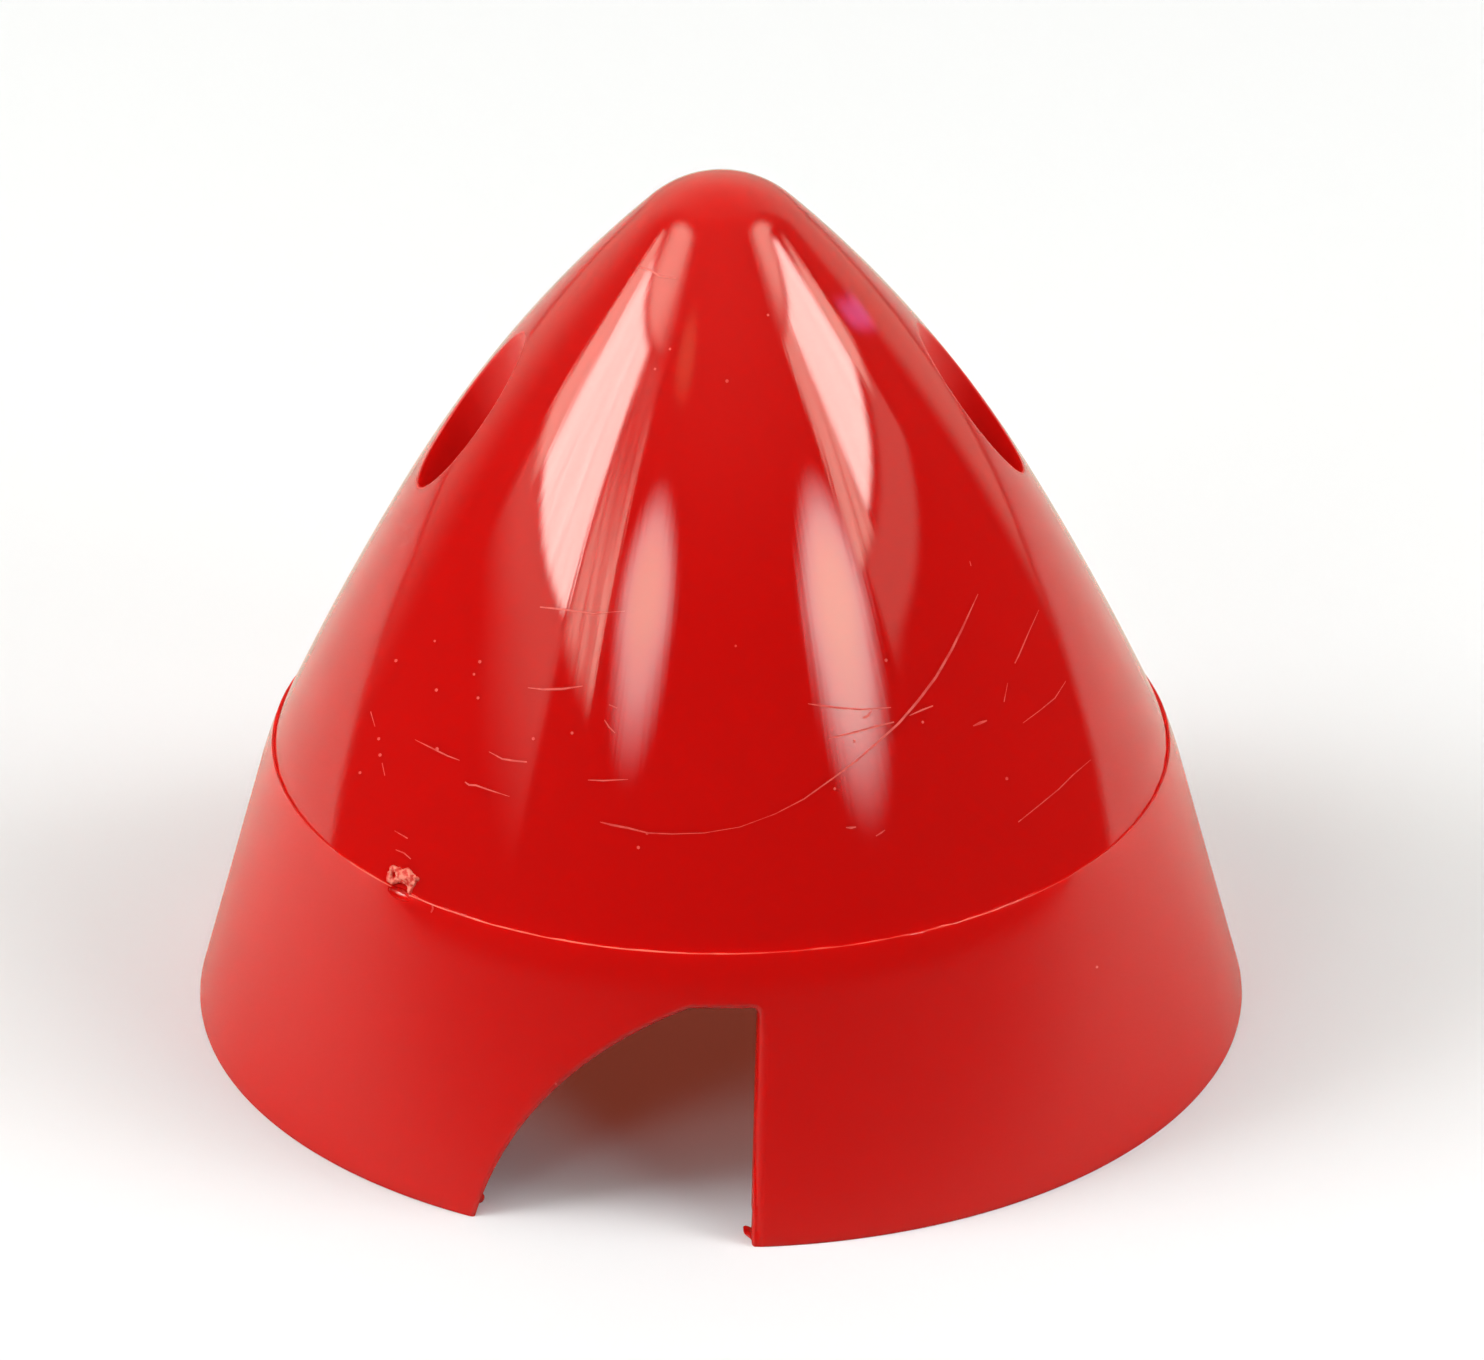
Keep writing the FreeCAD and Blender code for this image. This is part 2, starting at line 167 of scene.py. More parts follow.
# %% Nodes in a shader
class Shader:
    """A node tree, and the one way in which a node is added to it."""

    def __init__(self, tree):
        self.tree = tree
        tree.nodes.clear()

    def add(self, kind, settings=None, inputs=None, output=0):
        """Adds a node, sets it up, connects its inputs and gives back one of its outputs."""
        node = self.tree.nodes.new(kind)
        for name, value in (settings or {}).items():
            setattr(node, name, value)
        for name, value in (inputs or {}).items():
            if isinstance(value, Value):
                self.tree.links.new(value.socket, node.inputs[name])
            else:
                node.inputs[name].default_value = value
        return Value(self, node.outputs[output])

    def finish(self, surface, kind="ShaderNodeOutputMaterial"):
        node = self.tree.nodes.new(kind)
        self.tree.links.new(surface.socket, node.inputs["Surface"])


def mixed(shader, factor, first, second):
    """One colour where the factor is 0, and the other where it is 1."""
    first_colour, second_colour, result = 6, 7, 2    # the colour sockets of a Mix node, by number
    return shader.add("ShaderNodeMix", {"data_type": "RGBA"},
                      {"Factor": factor, first_colour: first, second_colour: second}, result)


def axes(shader, vector):
    """The three parts of a vector, as values."""
    parts = shader.add("ShaderNodeSeparateXYZ", None, {"Vector": vector}).socket.node.outputs
    return (Value(shader, parts[axis]) for axis in "XYZ")


def material_shader(name):
    material = bpy.data.materials.new(name)
    material.use_nodes = True
    return material, Shader(material.node_tree)


# %% [markdown]
# ## Floor and light
#
# The cap stands on a white sweep. A floor that is only white would turn grey where the lamps
# don't reach, so for the camera alone it is lifted a little towards white, away from the cap.
# What the cap itself sees of the floor is darker in front than behind, as its band shows. Light
# also soaks through the thin red wall and warms the floor inside, and a faint glow stands for
# that. It is too weak to be worth sampling as a lamp, so Cycles is told not to, and saves time.

# %% Floor
WHITE = (1, 1, 1, 1)
FLOOR_SIZE = 9.0
FLOOR_WHITE = (0.765, 0.845, 0.975, 1)
FLOOR_BOUNCE, FLOOR_DARK = 0.66, 0.12
FLOOR_LIFT = 0.06
SOAKED = (0.092, 0.026, 0.013, 1)
BOUNCE_ALONG_Y = (-0.10, 0.04)
LIFT_FROM_AXIS = (0.028, 0.07)
SOAKED_FROM_AXIS = (0.015, 0.0275)

floor_mesh = bpy.data.meshes.new("floor")
floor_form = bmesh.new()
bmesh.ops.create_grid(floor_form, x_segments=1, y_segments=1, size=FLOOR_SIZE / 2)
floor_form.to_mesh(floor_mesh)
floor_form.free()
floor = bpy.data.objects.new("floor", floor_mesh)
bpy.context.scene.collection.objects.link(floor)

floor_material, shader = material_shader("white_sweep")
x, y, _ = axes(shader, shader.add("ShaderNodeTexCoord", output="Object"))
out = (x * x + y * y) ** 0.5
table_edge = y.ramp(*BOUNCE_ALONG_Y) * (FLOOR_BOUNCE - FLOOR_DARK) + FLOOR_DARK
bounce = shader.add("ShaderNodeCombineColor", None, {0: table_edge, 1: table_edge, 2: table_edge})
seen = shader.add("ShaderNodeLightPath", output="Is Camera Ray")
paper = shader.add("ShaderNodeBsdfDiffuse", None, {"Color": mixed(shader, seen, bounce, FLOOR_WHITE)})
clear = shader.add("ShaderNodeEmission", None, {"Color": WHITE, "Strength": 1.0})
lift = seen * out.ramp(*LIFT_FROM_AXIS) * FLOOR_LIFT
lit = shader.add("ShaderNodeMixShader", None, {0: lift, 1: paper, 2: clear})
soaked = shader.add("ShaderNodeEmission", None,
                    {"Color": SOAKED, "Strength": out.fall(*SOAKED_FROM_AXIS)})
shader.finish(shader.add("ShaderNodeAddShader", None, {0: lit, 1: soaked}))
floor_material.cycles.emission_sampling = "NONE"
floor_mesh.materials.append(floor_material)
print("floor", FLOOR_SIZE, "m across")


# %% [markdown]
# A glossy cone shows its whole room: softboxes with their creases, two round reflectors, the
# dim front and the white sweep behind. Where each of them lies was worked out from the
# photograph, because the place of a reflection on the cone gives the direction it comes from.
# So each lamp here is a panel that covers a range of azimuth and elevation, in degrees, and a
# mask painted by direction gives it its outline, with edges a degree or two soft.

# %% Directions
LAMP_DISTANCE = 1.1
LAMP_AIM = Vector((0, 0, 28)) * MM
LAMP_MARGIN = 1.15    # a flat panel needs some height to spare over a range of directions
DEGREES = 180 / math.pi


def directions(shader, towards):
    """The azimuth and elevation, in degrees, of a vector in a shader."""
    unit = shader.add("ShaderNodeVectorMath", {"operation": "NORMALIZE"}, {0: towards})
    x, y, z = axes(shader, unit)
    return x.math("ARCTAN2", y * -1) * DEGREES, z.math("ARCSINE") * DEGREES


def within(value, low, high, soft=1.0):
    """1 between two values and 0 outside, with edges this soft."""
    return value.ramp(low - soft, low + soft) * value.fall(high - soft, high + soft)


def oval(azimuth, elevation, centre, reach):
    """0 in the middle of an oval source and 1 on its rim."""
    across = (azimuth - centre[0]) / reach[0]
    up = (elevation - centre[1]) / reach[1]
    return (across * across + up * up) ** 0.5


def folds(across, amount):
    """Soft bands like the folds of a stretched cloth, on both sides of 1."""
    bands = across.tree.add("ShaderNodeTexNoise", {"noise_dimensions": "1D"},
                            {"W": across, "Scale": 1.0, "Detail": 1.0})
    return (bands - 0.5) * (2 * amount) + 1


# %% Lamps by direction
def lamp(name, azimuths, elevations, radiance, colour, mask, distance=LAMP_DISTANCE):
    """A lamp over this range of directions, with a mask that takes azimuth and elevation."""
    low, high = (math.radians(angle) for angle in azimuths)
    bottom, top = (math.radians(angle) for angle in elevations)
    middle, height = (low + high) / 2, (bottom + top) / 2
    light = bpy.data.lights.new(name, "AREA")
    light.shape = "RECTANGLE"
    light.size = 2 * distance * math.tan((high - low) / 2) * math.cos(bottom)
    light.size_y = 2 * distance * math.tan((top - bottom) / 2) * LAMP_MARGIN
    light.energy = radiance * math.pi * light.size * light.size_y
    light.color = colour
    light.use_nodes = True
    shader = Shader(light.node_tree)
    place = shader.add("ShaderNodeNewGeometry", output="Position")
    towards = shader.add("ShaderNodeVectorMath", {"operation": "SUBTRACT"}, {0: place, 1: LAMP_AIM})
    strength = mask(*directions(shader, towards))
    shader.finish(shader.add("ShaderNodeEmission", None, {"Strength": strength}),
                  "ShaderNodeOutputLight")
    panel = bpy.data.objects.new(name, light)
    panel.location = LAMP_AIM + direction(middle, height) * distance
    panel.rotation_euler = (LAMP_AIM - panel.location).to_track_quat("-Z", "Y").to_euler()
    panel.visible_camera = False
    bpy.context.scene.collection.objects.link(panel)
    print(name, "{:.2f} by {:.2f} m".format(light.size, light.size_y))


# %% [markdown]
# Each softbox shows as a bright core with a dimmer side away from the camera, creased cloth
# towards it, a faint skirt below and a wide glow above. Each of these is a lamp of its own, so
# that its brightness can be set by itself. In the masks, a is the azimuth and e the elevation.

# %% Two softboxes
PEACH = (1.0, 0.91, 0.82)
PINK = (1.0, 0.86, 0.70)
CORE, SIDE, CREASED, SKIRT, GLOW = 11.9, 4.8, 3.4, 1.0, 4.6


def left_edge(a, e):
    return a + (e - 33) * 0.2


def left_top(a, e):
    return e - (a + 64) * 0.16


def right_top(a, e):
    return e + (a - 65) * 0.1


lamp("left_core", (-100, -62), (23, 48), CORE, PEACH, lambda a, e: (
    within(left_edge(a, e), -97, -63.3, 0.8) * left_top(a, e).fall(45.6, 47) * e.ramp(24.2, 25.8)
    * folds(a * 0.4 + e * 0.05, 0.3) * folds(left_edge(a, e) * 2.4 + 3, 0.7)))
lamp("left_side", (-112, -95), (21, 43), SIDE, PINK, lambda a, e: (
    within(left_edge(a, e), -108.5, -97.5) * left_top(a, e).fall(44.5, 47.5) * e.ramp(22, 25)))
lamp("left_creased", (-64, -45), (22, 51), CREASED, PINK, lambda a, e: (
    within(left_edge(a, e), -61.5, -47.5) * left_top(a, e).fall(45, 48) * e.ramp(23, 25)
    * folds(a * 0.55 + e * 0.28, 1.2) * (1.0 - e.ramp(29, 42) * 0.75)
    + within(left_edge(a, e), -48.6, -47.3, 0.5) * within(e, 25, 44, 2) * 0.9))
lamp("left_skirt", (-110, -58), (13, 26), SKIRT, PINK, lambda a, e: (
    within(left_edge(a, e), -106, -62, 2) * e.ramp(14, 22) * e.fall(23.5, 25.5)))
lamp("left_glow", (-122, -48), (38, 68), GLOW, PINK, lambda a, e: (
    oval(a, e, (-82, 51), (27, 11)).fall(0.4, 1.3) * left_top(a, e).ramp(46.5, 48)))

lamp("right_core", (63, 96), (28, 48), CORE, PEACH, lambda a, e: (
    within(a, 65, 94, 0.8) * right_top(a, e).fall(46, 47.4) * e.ramp(29.6, 31)
    * (e + a).fall(133, 136) * folds(a * 0.4 + 7, 0.2) * folds(a * 2.4 + 5, 0.6)))
lamp("right_side", (93, 105), (26, 39), SIDE, PINK, lambda a, e: (
    within(a, 94.5, 103) * within(e, 27.5, 37)))
lamp("right_creased", (52, 66), (27, 49), CREASED * 1.3, PINK, lambda a, e: (
    within(a, 54, 64.5) * right_top(a, e).fall(46, 48) * e.ramp(28, 30)
    * folds(a * 0.55 - e * 0.2, 0.9)))
lamp("right_skirt", (55, 101), (20, 30), SKIRT, PINK, lambda a, e: (
    within(a, 57, 99) * within(e, 22, 28.5)))
lamp("right_glow", (48, 114), (40, 68), GLOW, PINK, lambda a, e: (
    oval(a, e, (81, 51), (25, 11)).fall(0.4, 1.25) * right_top(a, e).ramp(47, 48.5)))


# %% [markdown]
# Two round reflectors stood more to the front. The cone draws them out into tall soft ovals.
# Each has a warm bowl that fades into a cooler rim. Two small lights are left: a glow, and a
# violet glint, which is a thin slanted streak.

# %% Two round reflectors, a small glow and a violet glint
BOWL_TINT, RIM_TINT = (1.0, 0.99, 0.82), (0.92, 1.0, 0.97)
BOWL_SHARE, RIM_SHARE = 0.96, 0.62
OVAL_MARGIN = 1.1
RIM_DISTANCE = LAMP_DISTANCE * 1.1
AMBER, VIOLET = (1.0, 0.7, 0.35), (0.75, 0.35, 1.0)


def reflector(name, centre, reach, radiance):
    """A round reflector: a warm bowl that fades into a cooler rim."""
    azimuths, elevations = ((middle - half * OVAL_MARGIN, middle + half * OVAL_MARGIN)
                            for middle, half in zip(centre, reach))
    lamp(name + "_bowl", azimuths, elevations, radiance * BOWL_SHARE, BOWL_TINT,
         lambda a, e: oval(a, e, centre, reach).fall(0.25, 0.85))
    lamp(name + "_rim", azimuths, elevations, radiance * RIM_SHARE, RIM_TINT,
         lambda a, e: within(oval(a, e, centre, reach), 0.52, 0.9, 0.25), RIM_DISTANCE)


reflector("left_reflector", (-32.5, 32.5), (11.2, 8.8), 6.6)
reflector("right_reflector", (41.2, 29.5), (13.5, 9.8), 8.0)
lamp("small_glow", (-45, -23), (47, 58), 0.9, AMBER, lambda a, e: (
    oval(a, e, (-34, 52.5), (10, 5)).fall(0.3, 1.0)))
lamp("violet_glint", (104, 128), (12, 30), 2.2, VIOLET, lambda a, e: (
    ((a - 116) - (e - 21) * 1.4).size().fall(8, 22)
    * ((a - 116) * 0.65 + e - 21).size().fall(0.3, 1.8)))


# %% [markdown]
# Beyond the lamps the room is dim in front and brighter towards the ceiling, and the white
# sweep rises behind the cap. For the camera itself it is plain white all round.

# %% World
FRONT, CEILING, BESIDE, SWEEP = 0.03, 0.21, 0.12, 0.68
NEAR_SIDES = 0.12    # how much of what stands beside the cap reaches round towards the camera
ROOM_TINT = (1.0, 0.94, 0.74, 1)

world = bpy.data.worlds.new("studio")
world.use_nodes = True
bpy.context.scene.world = world
shader = Shader(world.node_tree)
azimuth, elevation = directions(shader, shader.add("ShaderNodeTexCoord", output="Generated"))
beside = azimuth.size().ramp(90, 120) * elevation.ramp(8, 30)
beside = beside + azimuth.size().ramp(30, 60) * NEAR_SIDES
sweep = (azimuth.ramp(118, 128) + (azimuth * -1).ramp(116, 146)) * elevation.fall(20, 75)
dim = elevation.ramp(30, 68) * CEILING + beside * BESIDE + FRONT
seen_directly = shader.add("ShaderNodeLightPath", output="Is Camera Ray")
strength = (sweep * SWEEP + dim).most(seen_directly)
tone = mixed(shader, seen_directly, ROOM_TINT, WHITE)
shader.finish(shader.add("ShaderNodeBackground", None, {"Color": tone, "Strength": strength}),
              "ShaderNodeOutputWorld")
print("world", FRONT, "in front,", CEILING, "more above and", SWEEP, "more behind")


# %% [markdown]
# ## The outer form
#
# The outline is drawn once, from the axis at the rim up to the tip, and spun about the axis. The
# measures are those of the solid, and each arc runs tangent into the next. That leaves one thing
# to find, how much the cone leans in at its foot, and halving a range of angles finds it.

# %% Outline measures, in millimetres
BAND_LEAN = math.radians(14.9)
SHOULDER_LEAN = math.radians(20.4)
SEAM_HEIGHT = 15.3
SHOULDER_DEPTH = 2.3
SEAM_LEDGE = 0.15
FLANK_RISE = 14.0
FLANK_RADIUS = 174.0
CROWN_RADIUS = 78.5
NOSE_RADIUS = 5.75
CONE_WALL = 1.2
BAND_WALL = 1.5
ROUND_SEGMENTS = 360
SMALLEST_TURN = 1e-10


# %% Where the arcs meet
def facing(lean):
    """The outward direction of a surface that leans in by this angle, in the XZ plane."""
    return Vector((math.cos(lean), 0, math.sin(lean)))


def band_radius(height):
    return rim_radius - height * math.tan(BAND_LEAN)


def cone_arcs(foot, lean):
    """The lower arc's centre and end lean, and the upper arc's centre, for a lean at the foot."""
    lower = foot - facing(lean) * FLANK_RADIUS
    end_lean = math.asin((foot.z + FLANK_RISE - lower.z) / FLANK_RADIUS)
    return lower, end_lean, lower + facing(end_lean) * (FLANK_RADIUS - CROWN_RADIUS)


shoulder_height = SEAM_HEIGHT - SHOULDER_DEPTH
shoulder_foot = Vector((band_radius(shoulder_height), 0, shoulder_height))
shoulder_radius = SHOULDER_DEPTH / (math.sin(SHOULDER_LEAN) - math.sin(BAND_LEAN))
shoulder_centre = shoulder_foot - facing(BAND_LEAN) * shoulder_radius
shoulder_top = shoulder_centre + facing(SHOULDER_LEAN) * shoulder_radius
cone_foot = shoulder_top - Vector((SEAM_LEDGE, 0, 0))
nose_centre = Vector((0, 0, nose_height - NOSE_RADIUS))

steep, shallow = 0.0, math.radians(60)
while shallow - steep > SMALLEST_TURN:
    middle = (steep + shallow) / 2
    reach = (nose_centre - cone_arcs(cone_foot, middle)[2]).length
    if reach < CROWN_RADIUS - NOSE_RADIUS:
        steep = middle
    else:
        shallow = middle
foot_lean = steep
flank_centre, flank_lean, crown_centre = cone_arcs(cone_foot, foot_lean)
to_nose = nose_centre - crown_centre
nose_lean = math.atan2(to_nose.z, to_nose.x)
print("lean at the foot", round(math.degrees(foot_lean), 2), "at the nose",
      round(math.degrees(nose_lean), 2))


# %% [markdown]
# An outline is drawn like a pen line: each helper starts at the last vertex and gives back the
# new one. A straight part is extruded, and an arc is the path of a vertex that is spun about the
# arc's centre, so no list of points has to be worked out.

# %% Drawing an outline
SAME_PLACE = 1e-4


def draw_line(form, start, end, steps=1):
    """Straight edges from a vertex to a point, and the last vertex."""
    first = start.co.copy()
    for step in range(1, steps + 1):
        start = bmesh.ops.extrude_vert_indiv(form, verts=[start])["verts"][0]
        start.co = first.lerp(Vector(end), step / steps)
    return start


def draw_arc(form, start, centre, turn, steps):
    """Edges along an arc about a centre in the XZ plane, turning from +X towards +Z."""
    spun = bmesh.ops.spin(form, geom=[start], cent=centre, axis=(0, -1, 0), angle=turn, steps=steps)
    return next(item for item in spun["geom_last"] if isinstance(item, bmesh.types.BMVert))


def spin_shut(form, segments):
    """Spins an outline that begins and ends on the axis into a closed form."""
    bmesh.ops.spin(form, geom=form.verts[:] + form.edges[:], cent=(0, 0, 0), axis=UP,
                   angle=2 * math.pi, steps=segments, use_merge=True)
    bmesh.ops.remove_doubles(form, verts=form.verts[:], dist=SAME_PLACE)
    bmesh.ops.recalc_face_normals(form, faces=form.faces[:])


def as_object(name, form, material=None):
    mesh = bpy.data.meshes.new(name)
    form.to_mesh(mesh)
    form.free()
    if material:
        mesh.materials.append(material)
    piece = bpy.data.objects.new(name, mesh)
    bpy.context.scene.collection.objects.link(piece)
    return piece


# %% [markdown]
# Where the two halves of the mould met, the band stands a hair proud of the cone and carries a
# thread of flash. It is drawn as a little ridge with a groove beside it, and after the spin the
# ridge is raised and lowered along its length, because real flash is never even.

# %% Outer form
RIDGE_HEIGHT = 0.07
RIDGE_PROFILE = ((0.015, 0.7), (0.045, 1.0), (0.085, 0.6))     # inward, share of the height
GROOVE_PROFILE = ((0.03, -0.04), (0.0, -0.02), (0.0, 0.0))     # outward, up
RIM_PROFILE = ((0.12, 0.0), (0.03, 0.03))                      # inward, up
RIM_TOP = 0.14
BAND_STEPS, SHOULDER_STEPS = 8, 6
FLANK_STEPS, CROWN_STEPS, NOSE_STEPS = 24, 36, 18
RIDGE_WAVER = 0.055
WAVER_LENGTH = 1.1
ON_RIDGE = 0.01

outer = bmesh.new()
pen = outer.verts.new((0, 0, 0))
for inward, up in RIM_PROFILE:
    pen = draw_line(outer, pen, (rim_radius - inward, 0, up))
pen = draw_line(outer, pen, (band_radius(RIM_TOP), 0, RIM_TOP))
pen = draw_line(outer, pen, shoulder_foot, BAND_STEPS)
pen = draw_arc(outer, pen, shoulder_centre, SHOULDER_LEAN - BAND_LEAN, SHOULDER_STEPS)
for inward, share in RIDGE_PROFILE:
    pen = draw_line(outer, pen, shoulder_top + Vector((-inward, 0, RIDGE_HEIGHT * share)))
for outward, up in GROOVE_PROFILE:
    pen = draw_line(outer, pen, cone_foot + Vector((outward, 0, up)))
pen = draw_arc(outer, pen, flank_centre, flank_lean - foot_lean, FLANK_STEPS)
pen = draw_arc(outer, pen, crown_centre, nose_lean - flank_lean, CROWN_STEPS)
pen = draw_arc(outer, pen, nose_centre, math.pi / 2 - nose_lean, NOSE_STEPS)
pen.co.x = 0
spin_shut(outer, ROUND_SEGMENTS)
print("outer form", len(outer.faces), "faces")


# %% Uneven flash
for vertex in outer.verts:
    above = vertex.co.z - SEAM_HEIGHT
    beside = math.hypot(vertex.co.x, vertex.co.y) - cone_foot.x
    if ON_RIDGE < above <= RIDGE_HEIGHT + ON_RIDGE and beside > 2 * ON_RIDGE:
        waver = noise.noise(vertex.co / WAVER_LENGTH)
        vertex.co.z += waver * RIDGE_WAVER
print("the ridge stands", RIDGE_HEIGHT, "mm proud, give or take", RIDGE_WAVER)


# %% [markdown]
# ## The hollow
#
# A moulded cap is an outer form less a core. The core has slots in it, and what flows into them
# becomes the screw tubes and the webs that tie them to the wall. Boolean modifiers do the same
# here: first the slots are cut out of the core, and in the end the core out of the outer form.
# All tools of one piece go into one cut, because each cut rounds its points, and a second one
# on a rounded form can go wrong.

# %% Core measures, in millimetres
SCREW_X = 13.35
RECESS_RADIUS = 2.8
TUBE_WALL = 1.2
TUBE_FOOT = 2.0
TUBE_FLOOR = 3.0
SCREW_HOLE_RADIUS = 1.6
WEB_THICKNESS = 1.0
WEB_FOOT = 4.0
REGISTER_RADIUS = rim_radius - 1.3
REGISTER_DEPTH = 1.5
CROWN_JOINT_DEPTH = 8.0
CORE_SEGMENTS = 180
CLEAR = 1.0
HIGH = nose_height + 10


# %% Mould core
band_root = rim_radius - BAND_WALL / math.cos(BAND_LEAN)
climb = Vector((-math.sin(BAND_LEAN), 0, math.cos(BAND_LEAN)))
root = Vector((band_root, 0, 0))
from_centre = root - flank_centre
along = from_centre.dot(climb)
inner_flank = FLANK_RADIUS - CONE_WALL
inner_flank_start = root + climb * (math.sqrt(along ** 2 - from_centre.dot(from_centre)
                                              + inner_flank ** 2) - along)
inner_flank_end = flank_centre + facing(flank_lean) * inner_flank
joint_rise = nose_height - CROWN_JOINT_DEPTH - CONE_WALL - crown_centre.z
joint_lean = math.asin(joint_rise / (CROWN_RADIUS - CONE_WALL))
inner_joint = crown_centre + facing(joint_lean) * (CROWN_RADIUS - CONE_WALL)
inner_top = nose_centre + facing(nose_lean) * (NOSE_RADIUS - CONE_WALL)

core = bmesh.new()
pen = core.verts.new((0, 0, -CLEAR))
pen = draw_line(core, pen, (REGISTER_RADIUS, 0, -CLEAR))
pen = draw_line(core, pen, (REGISTER_RADIUS, 0, REGISTER_DEPTH))
pen = draw_line(core, pen, root + climb * (REGISTER_DEPTH / climb.z))
for corner in (inner_flank_start, inner_flank_end, inner_joint, inner_top):
    pen = draw_line(core, pen, corner)
pen = draw_line(core, pen, (0, 0, inner_top.z))
spin_shut(core, CORE_SEGMENTS)
print("mould core", len(core.faces), "faces, its flat end", round(inner_top.z, 2), "mm up")


# %% [markdown]
# A round slot stands for each screw tube and a flat one for its web. Both are plain shapes, set
# in place by the matrix that they are made with.

# %% Posts and webs
POST_SEGMENTS = 96


def post(name, radius, low, high, x):
    form = bmesh.new()
    bmesh.ops.create_cone(form, cap_ends=True, segments=POST_SEGMENTS, radius1=radius, radius2=radius,
                          depth=high - low, matrix=Matrix.Translation((x, 0, (low + high) / 2)))
    return as_object(name, form)


def web(name, side):
    outboard = rim_radius + CLEAR
    form = bmesh.new()
    scale = Matrix.Diagonal((outboard - SCREW_X, WEB_THICKNESS, HIGH - WEB_FOOT, 1))
    centre = Vector((side * (outboard + SCREW_X) / 2, 0, (HIGH + WEB_FOOT) / 2))
    bmesh.ops.create_cube(form, size=1, matrix=Matrix.Translation(centre) @ scale)
    return as_object(name, form)


# %% One cut for all tools
def open_edges(piece):
    """How many edges don't join exactly two faces: none, in a closed form."""
    form = bmesh.new()
    form.from_mesh(piece.data)
    count = sum(not edge.is_manifold for edge in form.edges)
    form.free()
    return count


def cut(piece, tools):
    """Cuts all the tools out of a piece at once, and removes the tools."""
    bundle = bpy.data.collections.new("tools")
    bpy.context.scene.collection.children.link(bundle)
    for tool in tools:
        print(tool.name, len(tool.data.polygons), "faces,", open_edges(tool), "open edges")
        bundle.objects.link(tool)
    modifier = piece.modifiers.new("cut", "BOOLEAN")
    modifier.operation = "DIFFERENCE"
    modifier.solver = "EXACT"
    modifier.material_mode = "TRANSFER"
    modifier.operand_type = "COLLECTION"
    modifier.collection = bundle
    result = piece.evaluated_get(bpy.context.evaluated_depsgraph_get())
    mesh = bpy.data.meshes.new_from_object(result)
    piece.modifiers.clear()
    piece.data = mesh
    for tool in tools:
        bpy.data.objects.remove(tool)
    bpy.data.collections.remove(bundle)
    print(piece.name, len(mesh.polygons), "faces,", open_edges(piece), "open edges")


# %% Slots in the core
plastic, plastic_shader = material_shader("gloss_and_satin_red")
moulded, moulded_shader = material_shader("moulded_inside_red")

shell = as_object("spinner_shell", outer, plastic)
mould_core = as_object("mould_core", core, moulded)
slots = [post("tube_slot", RECESS_RADIUS + TUBE_WALL, TUBE_FOOT, HIGH, side * SCREW_X)
         for side in (-1, 1)]
cut(mould_core, slots + [web("web_slot", side) for side in (-1, 1)])


# %% [markdown]
# ## Holes with rounded edges
#
# A moulded edge has a small round, and that round is what catches the light. A bevel after a
# boolean trips over the slivers that the cut leaves, so the round is built into the cutting tool
# instead: its rings are laid on the cap's own surface, wider at the surface and narrower below,
# and bridged into a closed form.

# %% Rounded cutting tools
ROUND_START = math.radians(12)    # a little short of tangent, so that the cut has a clean line
FLARE = 0.6


def round_rings(radius, steps):
    """How far out and how deep each ring of a rounded edge lies, from outside to inside."""
    rings = []
    for step in range(steps + 1):
        angle = ROUND_START + (math.pi / 2 - ROUND_START) * step / steps
        rings.append((radius * (1 - math.sin(angle)), radius * (1 - math.cos(angle))))
    out, deep = rings[0]
    return [(out + FLARE, deep - FLARE * math.tan(ROUND_START))] + rings


def bridge_rings(form, rings):
    """Bridges rings of vertices in their order, and caps both ends."""
    loops = []
    for ring in rings:
        members = set(ring)
        loops.append([edge for edge in form.edges if set(edge.verts) <= members])
    for one, two in zip(loops, loops[1:]):
        bmesh.ops.bridge_loops(form, edges=one + two)
    for loop in (loops[0], loops[-1]):
        bmesh.ops.contextual_create(form, geom=loop)
    bmesh.ops.recalc_face_normals(form, faces=form.faces[:])


# %% [markdown]
# The screw recesses run parallel to the axis, so they leave the sloping cone by long oval mouths.
# Each ring of the tool is a circle from above, with every vertex at the cone's own height.

# %% Screw recesses
MOUTH_ROUND = 0.16
MOUTH_STEPS = 6
MOUTH_SEGMENTS = 128
DOWN_THE_SLOPE = 1.5    # how much further a depth square to the cone reaches straight down


def crown_height(radius):
    """The height on the crown's arc at a distance from the axis."""
    run = radius - crown_centre.x
    return crown_centre.z + math.sqrt(CROWN_RADIUS ** 2 - run ** 2)


def recess_tool(x):
    form = bmesh.new()
    rings = []

    def ring(radius, place):
        made = bmesh.ops.create_circle(form, segments=MOUTH_SEGMENTS, radius=radius,
                                       matrix=Matrix.Translation((x, 0, 0)))["verts"]
        for vertex in made:
            vertex.co.z = place(math.hypot(vertex.co.x, vertex.co.y))
        rings.append(made)

    mouth = round_rings(MOUTH_ROUND, MOUTH_STEPS)
    ring(RECESS_RADIUS + mouth[0][0], lambda radius: HIGH)
    for out, deep in mouth:
        ring(RECESS_RADIUS + out, lambda radius: crown_height(radius) - deep * DOWN_THE_SLOPE)
    ring(RECESS_RADIUS, lambda radius: TUBE_FOOT + TUBE_FLOOR)
    bridge_rings(form, rings)
    return as_object("recess_tool", form, moulded)


def screw_hole_tool(x):
    tool = post("screw_hole_tool", SCREW_HOLE_RADIUS, -CLEAR, TUBE_FOOT + TUBE_FLOOR + CLEAR, x)
    tool.data.materials.append(moulded)
    return tool


# %% [markdown]
# A blade cutout is flat on top, nearly upright on one side, and one long arc on the other. Its
# rings are drawn flat and then laid on the band by giving each vertex the band's own depth.

